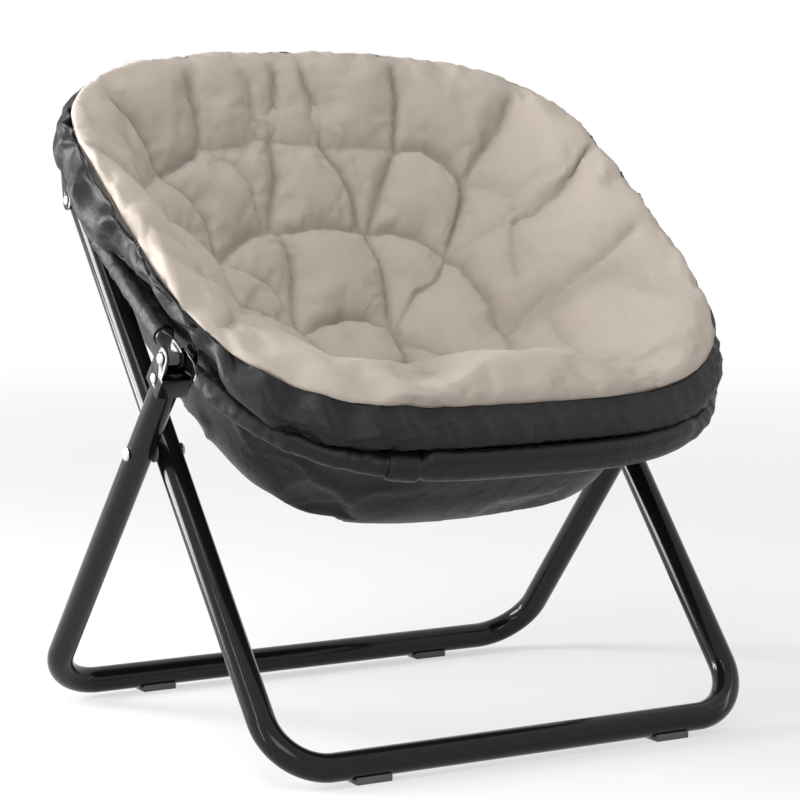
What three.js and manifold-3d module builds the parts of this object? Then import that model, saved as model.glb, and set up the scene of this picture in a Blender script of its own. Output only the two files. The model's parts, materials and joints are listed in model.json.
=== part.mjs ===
// Folding saucer chair: two crossed U-shaped legs, a round seat hoop in two hinged halves,
// fabric sleeves on the hoop, and a tufted bowl cushion in a satin backing.
// Millimetres, +Z up, the chair faces -Y. Origin: middle of the footprint, on the floor.

import * as THREE from 'three';
import { mergeVertices } from 'three/addons/utils/BufferGeometryUtils.js';
import Module from 'manifold-3d';

const wasm = await Module();
wasm.setup();

// Clearances
const touchGap = 0.3;
const armGap = 3;
const cutOverrun = 2;

// Crossed legs
const legTubeRadius = 16;
const legTubeWall = 1.2;
const legCornerRadius = 66;
const footSpan = 542.4;
const rearLegWidth = 685.2;
const frontLegWidth = rearLegWidth - (legTubeRadius * 2 + armGap) * 2;
const pivotHeight = 338.2;
const pivotSetback = -2.1;
const rearLegReach = 138;
const frontLegTipDrop = 31;

// Foot pads
const padHeight = 4;
const padWrap = 12;
const padLength = 44;
const padHalfWidth = 13;
const padSpacing = 396;

// Hinge of the two hoop halves, measured along the rear leg from the pivot
const hingeReach = 152;

// Seat hoop
const hoopTubeRadius = 11;
const hoopTubeWall = 1.2;
const hoopTilt = THREE.MathUtils.degToRad(31.5);
const hoopHalfWidth = 342;
const hoopCentreReach = 146;
const hoopFrontReach = 370;
const hoopRearReach = 310;
const hoopFrontPower = 3.2;
const hoopRearPower = 4;
const hoopTubeStart = 36;
const hoopTongue = 7;

// Hoop sleeves
const sleeveWall = 1.6;
const sleeveStart = 44;

// Hinge brackets on the rear leg
const bracketThickness = 2.2;
const bracketHalfWidth = 15;
const bracketSkirt = 30;
const bracketWebStop = 3;
const bladeThickness = 5;
const bladeRadius = 11;
const hingeBoltRadius = 4;
const hingeBoltHeadRadius = 7;
const hingeBoltHeadHeight = 4;
const hingeNutHeight = 4.6;
const hingeSpacerRadius = 7.5;

// Rivets
const pivotRivetRadius = 4;
const pivotRivetHeadRadius = 8.5;
const pivotRivetHeadHeight = 3.4;
const spacerRadius = 12;
const bracketRivetRadius = 3.2;
const bracketRivetHeadRadius = 6;
const bracketRivetHeadHeight = 2.6;
const bracketRivetReach = 122;

// Hoop rests on the front leg's tips
const restLength = 36;
const restThickness = 2.4;
const restShelfInset = 11;
const restFlangeLength = 40;
const restFlangeHalfWidth = 12;
const restRivetRadius = 3.2;
const restRivetHeadRadius = 6;
const restRivetHeadHeight = 2.6;
const restRivetSetback = 16;

// Rim of the seat, where the cushion's face meets the backing
const rimTilt = THREE.MathUtils.degToRad(35.4);
const rimHalfWidth = 356;
const rimCentreY = 103.9;
const rimCentreZ = 670.8;
const rimFrontReach = 462.6;
const rimRearReach = 210.5;
const rimFrontPower = 3.9;
const rimRearPower = 2.6;
const bowlCentreReach = -126;

// Backing, from the rim, behind the hoop and down round the bowl
const backingThickness = 2.4;
const backingBulge = 12;
const backingRearBulge = 14;
const backingHugRise = 21;
const backingHugDrop = 5;
const backingHugSlack = 1.4;
const backingHugEase = 1.6;
const hingeBackingGap = 4;
const hingeDentReach = 32;
const backingDrawDrop = 46;
const backingDrawShare = 0.82;
const backingCentreReach = 102;
const bowlDepth = 210;
const bowlPower = 2.45;
const bowlTurnShares = [0.3, 0.55, 0.78];
const splitGap = 0.3;

// Cushion
const cushionDepth = 211;
const cushionPower = 1.75;
const rimRollHeight = 10;
const rimRollPlaceShare = 0.93;
const rimRollWidthShare = 0.06;
const tuftHeight = 23;
const tuftEdgeShare = 0.125;
const lipHeight = 80;
const lipPlaceShare = 0.7;
const lipWidthShare = 0.2;
const lipTurnShare = 0.19;
const lipRimPower = 6;

// Tufting: where the facets follow the long sewn lines, as shares of a turn from the front
const sectorEdgeShares = [0.042, 0.153, 0.256, 0.356, 0.425, 0.484, 0.571, 0.65, 0.744, 0.822, 0.93];

// Sewn lines of the bowl, each a row of places: the share of the way out from its middle, and the turn
const seamShares = [
  [[0.19, 0.24], [0.13, 0.39], [0.145, 0.52], [0.142, 0.62], [0.19, 0.77]],
  [[0.19, 0.77], [0.18, 0.99], [0.18, 0.12], [0.19, 0.24]],
  [[0.46, 0.333], [0.485, 0.425], [0.48, 0.56], [0.485, 0.65], [0.48, 0.69], [0.49, 0.8], [0.48, 0.9]],
  [[0.48, 0.9], [0.47, 0.06], [0.465, 0.225], [0.46, 0.333]],
  [[0.46, 0.333], [0.305, 0.374], [0.19, 0.24]],
  [[0.48, 0.455], [0.303, 0.433], [0.19, 0.24]],
  [[0.48, 0.565], [0.31, 0.618], [0.19, 0.77]],
  [[0.48, 0.69], [0.325, 0.698], [0.19, 0.77]],
  [[0.19, 0.77], [0.47, 0.9]],
  [[0.19, 0.24], [0.465, 0.225]],
  [[0.46, 0.333], [0.6, 0.37], [0.73, 0.36], [0.95, 0.36]],
  [[0.485, 0.437], [0.65, 0.442], [0.742, 0.412], [0.73, 0.36]],
  [[0.742, 0.412], [0.84, 0.424], [0.95, 0.427]],
  [[0.488, 0.443], [0.65, 0.472], [0.855, 0.484], [0.95, 0.486]],
  [[0.742, 0.412], [0.75, 0.452], [0.95, 0.466]],
  [[0.48, 0.56], [0.6, 0.548], [0.742, 0.517], [0.95, 0.504]],
  [[0.48, 0.57], [0.743, 0.578], [0.95, 0.564]],
  [[0.742, 0.517], [0.743, 0.578], [0.757, 0.6], [0.695, 0.646], [0.48, 0.687]],
  [[0.695, 0.646], [0.95, 0.646]],
  [[0.695, 0.646], [0.71, 0.71], [0.68, 0.742], [0.82, 0.752], [0.95, 0.74]],
  [[0.48, 0.687], [0.6, 0.724], [0.68, 0.742]],
  [[0.48, 0.833], [0.6, 0.815], [0.765, 0.811], [0.95, 0.8]],
  [[0.6, 0.815], [0.6, 0.85], [0.73, 0.92], [0.82, 0.925]],
  [[0.73, 0.36], [0.745, 0.31], [0.73, 0.265], [0.6, 0.3], [0.46, 0.333]],
  [[0.73, 0.265], [0.95, 0.262]],
  [[0.73, 0.265], [0.745, 0.215], [0.72, 0.165], [0.465, 0.225]],
  [[0.72, 0.165], [0.95, 0.146]],
];

// Facets
const tubeSides = 12;
const hoopSides = 10;
const bendSteps = 7;
const frontHoopSteps = 16;
const rearHoopSteps = 22;
const roundSides = 16;
const smallSides = 12;
const nutSides = 6;
const sectorSteps = 4;
const backingStationShares = [0.035, 0.08, 0.13, 0.19, 0.25, 0.31, 0.38, 0.44, 0.5, 0.58, 0.68, 0.8, 0.92];
const cushionTopShares = [0.97, 0.9, 0.82, 0.735, 0.66, 0.6, 0.54, 0.48, 0.4, 0.3, 0.185, 0.1];
const turnProbe = 0.002;
const searchEnd = 1e-6;

// Finishes
const glossBlack = new THREE.MeshStandardMaterial({ color: 0x141112, roughness: 0.22, metalness: 0.3 });
const zincSteel = new THREE.MeshStandardMaterial({ color: 0xb9b9b6, roughness: 0.35, metalness: 0.9 });
const blackPlastic = new THREE.MeshStandardMaterial({ color: 0x191919, roughness: 0.6, metalness: 0 });
const satin = new THREE.MeshStandardMaterial({ color: 0x232122, roughness: 0.45, metalness: 0 });
const taupeCloth = new THREE.MeshStandardMaterial({ color: 0xbeb0a3, roughness: 0.9, metalness: 0 });

const chair = new THREE.Group();

// Solids

function solidFrom(geometry) {
  const bare = geometry.clone();
  bare.deleteAttribute('normal');
  bare.deleteAttribute('uv');
  const merged = mergeVertices(bare);
  const mesh = new wasm.Mesh({
    numProp: 3,
    vertProperties: Float32Array.from(merged.getAttribute('position').array),
    triVerts: Uint32Array.from(merged.index.array),
  });
  return new wasm.Manifold(mesh);
}

function geometryFrom(solid) {
  const mesh = solid.getMesh();
  const geometry = new THREE.BufferGeometry();
  geometry.setAttribute('position', new THREE.BufferAttribute(mesh.vertProperties, mesh.numProp));
  geometry.setIndex(new THREE.BufferAttribute(mesh.triVerts, 1));
  return geometry;
}

function add(name, geometry, material) {
  const mesh = new THREE.Mesh(geometry, material);
  mesh.name = name;
  chair.add(mesh);
  return mesh;
}

// A closed surface through rings of points, with a single point at each end.
function loft(rings, firstPoint, lastPoint) {
  const count = rings[0].length;
  const positions = [firstPoint, ...rings.flat(), lastPoint].flatMap((point) => point.toArray());
  const last = rings.length * count + 1;
  const index = [];
  const at = (ring, step) => 1 + ring * count + (step % count);
  for (let step = 0; step < count; step += 1) {
    index.push(0, at(0, step), at(0, step + 1));
    index.push(last, at(rings.length - 1, step + 1), at(rings.length - 1, step));
    for (let ring = 0; ring < rings.length - 1; ring += 1) {
      index.push(at(ring, step), at(ring + 1, step), at(ring + 1, step + 1));
      index.push(at(ring, step), at(ring + 1, step + 1), at(ring, step + 1));
    }
  }
  const geometry = new THREE.BufferGeometry();
  geometry.setAttribute('position', new THREE.BufferAttribute(Float32Array.from(positions), 3));
  geometry.setIndex(index);
  return geometry;
}

// A path whose stations are given, so straight stretches take one step.
class StationPath extends THREE.Curve {
  constructor(points) {
    super();
    this.points = points;
  }

  station(u) {
    return Math.round(u * (this.points.length - 1));
  }

  getPointAt(u, target = new THREE.Vector3()) {
    return target.copy(this.points[this.station(u)]);
  }

  getTangentAt(u, target = new THREE.Vector3()) {
    const here = this.station(u);
    const before = this.points[Math.max(here - 1, 0)];
    const after = this.points[Math.min(here + 1, this.points.length - 1)];
    const arrive = this.points[here].clone().sub(before).normalize();
    const leave = after.clone().sub(this.points[here]).normalize();
    return target.copy(arrive.add(leave)).normalize();
  }
}

function ringShape(outerRadius, innerRadius) {
  const shape = new THREE.Shape();
  shape.absarc(0, 0, outerRadius, 0, Math.PI * 2, false);
  if (innerRadius > 0) {
    const hole = new THREE.Path();
    hole.absarc(0, 0, innerRadius, 0, Math.PI * 2, true);
    shape.holes.push(hole);
  }
  return shape;
}

function tubeAlong(points, outerRadius, innerRadius, sides) {
  return new THREE.ExtrudeGeometry(ringShape(outerRadius, innerRadius), {
    curveSegments: sides / 2,
    steps: points.length - 1,
    extrudePath: new StationPath(points),
  });
}

// A lathed piece that lies along X, from a profile of [distance along X, radius] pairs.
function turned(profile, sides) {
  const points = profile.map(([along, radius]) => new THREE.Vector2(radius, along));
  return new THREE.LatheGeometry(points, sides).rotateZ(-Math.PI / 2);
}

function drillAt(centre, radius, length) {
  const ends = [-length / 2, length / 2];
  const drill = turned([[ends[0], 0], [ends[0], radius], [ends[1], radius], [ends[1], 0]], roundSides);
  return solidFrom(drill.translate(...centre.toArray()));
}

// A flat plate cut from an outline in the chair's side view, between two places on X.
function sidePlate(outline, lowX, highX) {
  const plate = new THREE.ExtrudeGeometry(outline, {
    depth: highX - lowX,
    bevelEnabled: false,
    curveSegments: roundSides / 2,
  });
  const turn = new THREE.Matrix4().makeBasis(
    new THREE.Vector3(0, 1, 0),
    new THREE.Vector3(0, 0, 1),
    new THREE.Vector3(1, 0, 0),
  );
  return plate.applyMatrix4(turn).translate(lowX, 0, 0);
}

// Skeleton of the side view

const barHeight = padHeight + touchGap + legTubeRadius;
const pivot = new THREE.Vector3(0, pivotSetback, pivotHeight);
const rearBar = new THREE.Vector3(0, footSpan / 2, barHeight);
const frontBar = new THREE.Vector3(0, -footSpan / 2, barHeight);
const rearLegUp = pivot.clone().sub(rearBar).normalize();
const frontLegUp = pivot.clone().sub(frontBar).normalize();
const rearLegLength = pivot.distanceTo(rearBar) + rearLegReach;
const rearArmX = rearLegWidth / 2;
const frontArmX = frontLegWidth / 2;
const hinge = pivot.clone().addScaledVector(rearLegUp, hingeReach);
const hoopAlong = new THREE.Vector3(0, Math.cos(hoopTilt), Math.sin(hoopTilt));
const hoopUp = new THREE.Vector3(0, -Math.sin(hoopTilt), Math.cos(hoopTilt));
const pivotBelowHoop = hinge.clone().sub(pivot).dot(hoopUp);
const frontLegReach = (pivotBelowHoop - frontLegTipDrop) / frontLegUp.dot(hoopUp);
const frontLegLength = pivot.distanceTo(frontBar) + frontLegReach;
const rimAlong = new THREE.Vector3(0, Math.cos(rimTilt), Math.sin(rimTilt));
const rimUp = new THREE.Vector3(0, -Math.sin(rimTilt), Math.cos(rimTilt));
const rimCentre = new THREE.Vector3(0, rimCentreY, rimCentreZ);

// A rounded-square outline: turn 0 is the front, a quarter turn is the chair's -X side.
function outlineAt(form, turn) {
  const angle = turn * Math.PI * 2;
  const ahead = Math.cos(angle);
  const aside = Math.sin(angle);
  const power = ahead > 0 ? form.frontPower : form.rearPower;
  const reach = ahead > 0 ? form.frontReach : form.rearReach;
  const norm = (Math.abs(ahead) ** power + Math.abs(aside) ** power) ** (-1 / power);
  return new THREE.Vector2(-form.halfWidth * aside * norm, form.centre - reach * ahead * norm);
}

const hoopForm = {
  halfWidth: hoopHalfWidth,
  centre: hoopCentreReach,
  frontReach: hoopFrontReach,
  rearReach: hoopRearReach,
  frontPower: hoopFrontPower,
  rearPower: hoopRearPower,
};
const rimForm = {
  halfWidth: rimHalfWidth,
  centre: 0,
  frontReach: rimFrontReach,
  rearReach: rimRearReach,
  frontPower: rimFrontPower,
  rearPower: rimRearPower,
};

function onHoop(x, along, up) {
  return hinge.clone().addScaledVector(hoopAlong, along).addScaledVector(hoopUp, up).setX(x);
}

function hoopPoint(turn) {
  const place = outlineAt(hoopForm, turn);
  return onHoop(place.x, place.y, 0);
}

// Turn at which the hoop, on its -X side, is a given distance along its slope from the hinge.
function hoopTurnAt(along) {
  let low = 0;
  let high = 1 / 2;
  while (high - low > searchEnd) {
    const middle = (low + high) / 2;
    if (outlineAt(hoopForm, middle).y < along) low = middle;
    else high = middle;
  }
  return low;
}

// Places along one half of the hoop, from its sleeve's one end to the other.
function hoopStations(direction, steps) {
  const start = hoopTurnAt(direction * sleeveStart);
  const end = direction < 0 ? -start : 1 - start;
  const points = [];
  for (let step = 0; step <= steps; step += 1) {
    points.push(hoopPoint(start + ((end - start) * step) / steps));
  }
  return points;
}

const hoopLane = Math.abs(hoopPoint(hoopTurnAt(0)).x);

// Legs

function legStations(bar, up, armX, length) {
  const points = [];
  const place = (x, rise) => bar.clone().addScaledVector(up, rise).setX(x);
  points.push(place(-armX, length));
  for (const side of [-1, 1]) {
    for (let step = 0; step <= bendSteps; step += 1) {
      const share = side < 0 ? step / bendSteps : 1 - step / bendSteps;
      const angle = (share * Math.PI) / 2;
      const x = side * (armX - legCornerRadius * (1 - Math.cos(angle)));
      points.push(place(x, legCornerRadius * (1 - Math.sin(angle))));
    }
  }
  points.push(place(armX, length));
  return points;
}

function legTube(bar, up, armX, length, holeReaches) {
  const stations = legStations(bar, up, armX, length);
  const bore = legTubeRadius - legTubeWall;
  let solid = solidFrom(tubeAlong(stations, legTubeRadius, bore, tubeSides));
  for (const [reach, radius] of holeReaches) {
    const centre = pivot.clone().addScaledVector(up, reach);
    for (const side of [-1, 1]) {
      const width = legTubeRadius * 2 + cutOverrun;
      solid = solid.subtract(drillAt(centre.clone().setX(side * armX), radius + touchGap, width));
    }
  }
  return geometryFrom(solid);
}

function makeLegs() {
  add('rear_leg_tube', legTube(rearBar, rearLegUp, rearArmX, rearLegLength, [
    [0, pivotRivetRadius],
    [bracketRivetReach, bracketRivetRadius],
  ]), glossBlack);
  add('front_leg_tube', legTube(frontBar, frontLegUp, frontArmX, frontLegLength, [
    [0, pivotRivetRadius],
    [frontLegReach - restRivetSetback, restRivetRadius],
  ]), glossBlack);
}

// A rivet with a domed head at each end, lying along X between two outer faces.
function rivetProfile(low, high, radius, headRadius, headHeight) {
  const dome = headHeight / 2;
  return [
    [low - headHeight, 0],
    [low - headHeight, headRadius / 2],
    [low - dome, headRadius],
    [low, headRadius],
    [low, radius],
    [high, radius],
    [high, headRadius],
    [high + dome, headRadius],
    [high + headHeight, headRadius / 2],
    [high + headHeight, 0],
  ];
}

function sideName(side) {
  return side < 0 ? 'left' : 'right';
}

// Places a piece made for the +X side at the pivot line, mirrored as a half turn for the -X side.
function mirrorProfile(profile, side) {
  const placed = profile.map(([along, radius]) => [along * side, radius]);
  return side < 0 ? placed.reverse() : placed;
}

function makePivots(side) {
  const inner = frontArmX - legTubeRadius - touchGap;
  const outer = rearArmX + legTubeRadius + touchGap;
  const rivet = rivetProfile(inner, outer, pivotRivetRadius, pivotRivetHeadRadius, pivotRivetHeadHeight);
  add(`leg_pivot_rivet_${sideName(side)}`,
    turned(mirrorProfile(rivet, side), roundSides).translate(0, pivot.y, pivot.z), zincSteel);

  const low = frontArmX + legTubeRadius + touchGap;
  const high = rearArmX - legTubeRadius - touchGap;
  const bore = pivotRivetRadius + touchGap;
  const washer = [[low, bore], [low, spacerRadius], [high, spacerRadius], [high, bore], [low, bore]];
  add(`leg_spacer_${sideName(side)}`,
    turned(mirrorProfile(washer, side), roundSides).translate(0, pivot.y, pivot.z), blackPlastic);
}

// Hinge brackets on the rear leg's tips

const bracketInnerX = rearArmX - legTubeRadius - touchGap;
const bracketOuterX = rearArmX + legTubeRadius + touchGap;

// The bracket's side view, along the leg and across it towards the front.
function bracketOutline(topRounded, low, high, back, front) {
  const across = new THREE.Vector3(0, -rearLegUp.z, rearLegUp.y);
  const at = (along, side) => {
    const point = pivot.clone().addScaledVector(rearLegUp, along).addScaledVector(across, side);
    return new THREE.Vector2(point.y, point.z);
  };
  const points = [at(low, back), at(low, front)];
  if (topRounded) {
    for (let step = 0; step <= smallSides; step += 1) {
      const angle = (step / smallSides) * Math.PI;
      points.push(at(high + Math.sin(angle) * bracketHalfWidth, Math.cos(angle) * bracketHalfWidth));
    }
  } else {
    points.push(at(high, front), at(high, back));
  }
  return new THREE.Shape(points);
}

function makeBracket(side) {
  const low = rearLegReach - bracketSkirt;
  const webBack = legTubeRadius + touchGap;
  const webFront = webBack + bracketThickness;
  const cheek = bracketOutline(true, low, hingeReach, -bracketHalfWidth, bracketHalfWidth);
  const lowerCheek = bracketOutline(false, low, rearLegReach - bracketWebStop, -bracketHalfWidth, webFront);
  const web = bracketOutline(false, low, rearLegReach - bracketWebStop, webBack, webFront);
  const plates = [
    sidePlate(cheek, bracketInnerX - bracketThickness, bracketInnerX),
    sidePlate(lowerCheek, bracketInnerX - bracketThickness, bracketInnerX),
    sidePlate(cheek, bracketOuterX, bracketOuterX + bracketThickness),
    sidePlate(lowerCheek, bracketOuterX, bracketOuterX + bracketThickness),
    sidePlate(web, bracketInnerX - bracketThickness, bracketOuterX + bracketThickness),
  ];
  let solid = plates.map(solidFrom).reduce((whole, plate) => whole.add(plate));
  const span = (bracketOuterX - bracketInnerX + bracketThickness * 2) * 2;
  const rivetAt = pivot.clone().addScaledVector(rearLegUp, bracketRivetReach).setX(rearArmX);
  solid = solid.subtract(drillAt(rivetAt, bracketRivetRadius + touchGap, span));
  solid = solid.subtract(drillAt(hinge.clone().setX(rearArmX), hingeBoltRadius + touchGap, span));
  if (side < 0) solid = solid.mirror([1, 0, 0]);
  add(`hoop_bracket_${sideName(side)}`, geometryFrom(solid), glossBlack);

  const faceLow = bracketInnerX - bracketThickness - touchGap;
  const faceHigh = bracketOuterX + bracketThickness + touchGap;
  const rivet = rivetProfile(faceLow, faceHigh,
    bracketRivetRadius, bracketRivetHeadRadius, bracketRivetHeadHeight);
  add(`bracket_rivet_${sideName(side)}`,
    turned(mirrorProfile(rivet, side), smallSides).translate(0, rivetAt.y, rivetAt.z), zincSteel);
}

// Hinge bolt, its nut and the spacer that fills the bracket beside the two blades

const bladeSplit = hoopLane;
const frontBladeLow = bladeSplit - touchGap / 2 - bladeThickness;
const rearBladeHigh = bladeSplit + touchGap / 2 + bladeThickness;

const hingeNutLow = bracketInnerX - bracketThickness - touchGap - hingeNutHeight;

function makeHingePin(side) {
  const faceLow = bracketInnerX - bracketThickness - touchGap;
  const faceHigh = bracketOuterX + bracketThickness + touchGap;
  const chamfer = hingeBoltHeadHeight / 4;
  const bolt = [
    [hingeNutLow - touchGap, 0],
    [hingeNutLow - touchGap, hingeBoltRadius],
    [faceHigh, hingeBoltRadius],
    [faceHigh, hingeBoltHeadRadius],
    [faceHigh + hingeBoltHeadHeight - chamfer, hingeBoltHeadRadius],
    [faceHigh + hingeBoltHeadHeight, hingeBoltHeadRadius - chamfer],
    [faceHigh + hingeBoltHeadHeight, 0],
  ];
  add(`hinge_bolt_${sideName(side)}`,
    turned(mirrorProfile(bolt, side), smallSides).translate(0, hinge.y, hinge.z), zincSteel);

  const bore = hingeBoltRadius + touchGap;
  const nut = [
    [hingeNutLow, 0],
    [hingeNutLow, hingeBoltHeadRadius],
    [faceLow, hingeBoltHeadRadius],
    [faceLow, 0],
  ];
  const hexagon = turned(mirrorProfile(nut, side), nutSides).translate(0, hinge.y, hinge.z);
  const nutCentre = hinge.clone().setX(side * (hingeNutLow + faceLow) / 2);
  add(`hinge_nut_${sideName(side)}`,
    geometryFrom(solidFrom(hexagon).subtract(drillAt(nutCentre, bore, hingeNutHeight * 2))), zincSteel);

  const low = rearBladeHigh + touchGap;
  const high = bracketOuterX - touchGap;
  const spacer = [
    [low, bore], [low, hingeSpacerRadius], [high, hingeSpacerRadius], [high, bore], [low, bore],
  ];
  add(`hinge_spacer_${sideName(side)}`,
    turned(mirrorProfile(spacer, side), smallSides).translate(0, hinge.y, hinge.z), blackPlastic);
}

// Hoop halves: a bent tube whose flattened ends are drilled for the hinge bolt

function bladeOutline(reach) {
  const direction = Math.sign(reach);
  const points = [];
  for (let step = 0; step <= smallSides; step += 1) {
    const angle = Math.PI / 2 + (step / smallSides) * Math.PI;
    const place = onHoop(0, Math.cos(angle) * bladeRadius * direction, Math.sin(angle) * bladeRadius);
    points.push(new THREE.Vector2(place.y, place.z));
  }
  for (const up of [-bladeRadius, bladeRadius]) {
    const place = onHoop(0, reach, up);
    points.push(new THREE.Vector2(place.y, place.z));
  }
  return new THREE.Shape(points);
}

function makeHoop(name, direction, steps) {
  const tip = hoopPoint(hoopTurnAt(direction * hoopTubeStart));
  const stations = [tip, ...hoopStations(direction, steps), tip.clone().setX(-tip.x)];
  const reach = direction * (hoopTubeStart + hoopTongue);
  const low = direction < 0 ? frontBladeLow : rearBladeHigh - bladeThickness;
  const bore = hoopTubeRadius - hoopTubeWall;
  let solid = solidFrom(tubeAlong(stations, hoopTubeRadius, bore, hoopSides));
  for (const side of [-1, 1]) {
    const ends = side < 0 ? [-low - bladeThickness, -low] : [low, low + bladeThickness];
    solid = solid.add(solidFrom(sidePlate(bladeOutline(reach), ...ends)));
    const centre = hinge.clone().setX((ends[0] + ends[1]) / 2);
    solid = solid.subtract(drillAt(centre, hingeBoltRadius + touchGap, bladeThickness * 2));
  }
  add(name, geometryFrom(solid), glossBlack);
}

function makeSleeve(name, direction, steps) {
  const bore = hoopTubeRadius + touchGap;
  add(name, tubeAlong(hoopStations(direction, steps), bore + sleeveWall, bore, hoopSides), satin);
}

// Hoop rests: an angle plate riveted outside each front leg tip, its shelf under the rear half

const restRivetPlace = pivot.clone().addScaledVector(frontLegUp, frontLegReach - restRivetSetback);
const legTip = pivot.clone().addScaledVector(frontLegUp, frontLegReach);
const restFlangeLow = frontArmX + legTubeRadius + touchGap;
const shelfTop = -(hoopTubeRadius + touchGap + sleeveWall + touchGap);

// An outline on the hoop's slope, given along it and square to it, for a plate in the side view.
function slopeOutline(places) {
  return new THREE.Shape(places.map(([along, up]) => {
    const point = onHoop(0, along, up);
    return new THREE.Vector2(point.y, point.z);
  }));
}

function makeRest(side) {
  const tipAlong = legTip.clone().sub(hinge).dot(hoopAlong);
  const hoopX = Math.abs(hoopPoint(hoopTurnAt(tipAlong)).x);
  const low = tipAlong - restLength / 2;
  const high = tipAlong + restLength / 2;
  const shelf = slopeOutline([
    [low, shelfTop - restThickness], [high, shelfTop - restThickness], [high, shelfTop], [low, shelfTop],
  ]);
  const down = frontLegUp.clone().negate();
  const foot = restRivetPlace.clone().sub(hinge);
  const footAlong = foot.dot(hoopAlong);
  const footUp = foot.dot(hoopUp);
  const turnAlong = down.dot(hoopAlong);
  const turnUp = down.dot(hoopUp);
  const tail = [];
  for (let step = 0; step <= smallSides; step += 1) {
    const angle = (step / smallSides) * Math.PI;
    const across = Math.cos(angle) * restFlangeHalfWidth;
    const ahead = Math.sin(angle) * restFlangeHalfWidth;
    tail.push([
      footAlong + turnAlong * ahead + turnUp * across,
      footUp + turnUp * ahead - turnAlong * across,
    ]);
  }
  const flange = slopeOutline([...tail, [high, shelfTop], [low, shelfTop]]);
  const outerX = restFlangeLow + restThickness;
  let solid = solidFrom(sidePlate(flange, restFlangeLow, outerX));
  solid = solid.add(solidFrom(sidePlate(shelf, hoopX - restShelfInset, outerX)));
  const hole = restRivetPlace.clone().setX(restFlangeLow);
  solid = solid.subtract(drillAt(hole, restRivetRadius + touchGap, restFlangeLength));
  if (side < 0) solid = solid.mirror([1, 0, 0]);
  add(`hoop_rest_${sideName(side)}`, geometryFrom(solid), glossBlack);

  const rivet = rivetProfile(frontArmX - legTubeRadius - touchGap, outerX + touchGap,
    restRivetRadius, restRivetHeadRadius, restRivetHeadHeight);
  add(`rest_rivet_${sideName(side)}`,
    turned(mirrorProfile(rivet, side), smallSides).translate(0, hole.y, hole.z), zincSteel);
}

// Foot pads: a plastic saddle round the underside of each floor bar, flat on the floor

function makeFootPad(name, x, bar) {
  const inner = legTubeRadius + touchGap;
  const wrapAngle = Math.asin(padWrap / inner);
  const points = [];
  for (let step = 0; step <= smallSides; step += 1) {
    const angle = Math.PI + wrapAngle + (step / smallSides) * (Math.PI - wrapAngle * 2);
    points.push(new THREE.Vector2(Math.cos(angle) * inner, Math.sin(angle) * inner));
  }
  points.push(new THREE.Vector2(padHalfWidth, -padWrap));
  points.push(new THREE.Vector2(padHalfWidth, -bar.z));
  points.push(new THREE.Vector2(-padHalfWidth, -bar.z));
  points.push(new THREE.Vector2(-padHalfWidth, -padWrap));
  const centre = new THREE.Vector2(bar.y, bar.z);
  const outline = new THREE.Shape(points.map((point) => point.add(centre)));
  add(name, sidePlate(outline, x - padLength / 2, x + padLength / 2), blackPlastic);
}

// Surfaces of the seat

function rimPoint(turn) {
  const place = outlineAt(rimForm, turn);
  return rimCentre.clone().addScaledVector(rimAlong, place.y).setX(place.x);
}

function outwardAt(form, turn) {
  const ahead = outlineAt(form, turn + turnProbe).sub(outlineAt(form, turn - turnProbe)).normalize();
  return new THREE.Vector2(ahead.y, -ahead.x).negate();
}

// The backing's section at one turn, from the rim to the bottom of the bowl.
const backingInset = hoopTubeRadius + touchGap + sleeveWall + backingHugSlack;
const hingeDentDepth = hoopLane - backingInset - (hingeNutLow - touchGap - hingeBackingGap);

function backingSection(turn) {
  const rim = rimPoint(turn);
  const place = outlineAt(hoopForm, turn);
  const outward = outwardAt(hoopForm, turn);
  const dent = hingeDentDepth * Math.exp(-((place.y / hingeDentReach) ** 2));
  const inset = backingInset + dent;
  const hug = (depth, up) => onHoop(place.x - outward.x * depth, place.y - outward.y * depth, up);
  const upper = hug(inset, backingHugRise);
  const swell = rim.clone().add(upper).multiplyScalar(1 / 2);
  const bulge = backingBulge + (backingRearBulge * (1 - Math.cos(turn * Math.PI * 2))) / 2;
  swell.add(hug(-bulge, 0)).sub(hug(0, 0));
  const section = [rim, swell, upper, hug(inset + backingHugEase, -backingHugDrop)];
  for (const share of [0, ...bowlTurnShares]) {
    const angle = (share * Math.PI) / 2;
    const scale = backingDrawShare * Math.cos(angle) ** (2 / bowlPower);
    const drop = (bowlDepth - backingDrawDrop) * Math.sin(angle) ** (2 / bowlPower);
    section.push(onHoop(
      place.x * scale,
      backingCentreReach + (place.y - backingCentreReach) * scale,
      -backingDrawDrop - drop,
    ));
  }
  section.push(onHoop(0, backingCentreReach, -bowlDepth));
  return new THREE.CatmullRomCurve3(section);
}

// A point of the backing at a turn and a share of the way down, sunk by a depth into the seat.
function backingPoint(turn, share, depth) {
  const point = backingSection(turn).getPoint(share);
  if (depth === 0) return point;
  const low = Math.max(share - turnProbe, 0);
  const high = Math.min(share + turnProbe, 1);
  const down = backingSection(turn).getPoint(high).sub(backingSection(turn).getPoint(low));
  const round = backingSection(turn + turnProbe).getPoint(share);
  round.sub(backingSection(turn - turnProbe).getPoint(share));
  const inward = new THREE.Vector3().crossVectors(down, round).normalize();
  return point.addScaledVector(inward, depth);
}

const bowlPole = onHoop(0, backingCentreReach, -bowlDepth);

function flatPlace(share, turn) {
  const angle = turn * Math.PI * 2;
  return new THREE.Vector2(Math.cos(angle) * share, Math.sin(angle) * share);
}

const seams = seamShares.map((places) => places.map((place) => flatPlace(...place)));

// Distance of a place from the line between two others, as a share of the bowl.
function reachFrom(here, start, end) {
  const step = end.clone().sub(start);
  const part = here.clone().sub(start).dot(step) / step.lengthSq();
  return here.distanceTo(start.clone().addScaledVector(step, Math.min(Math.max(part, 0), 1)));
}

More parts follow.
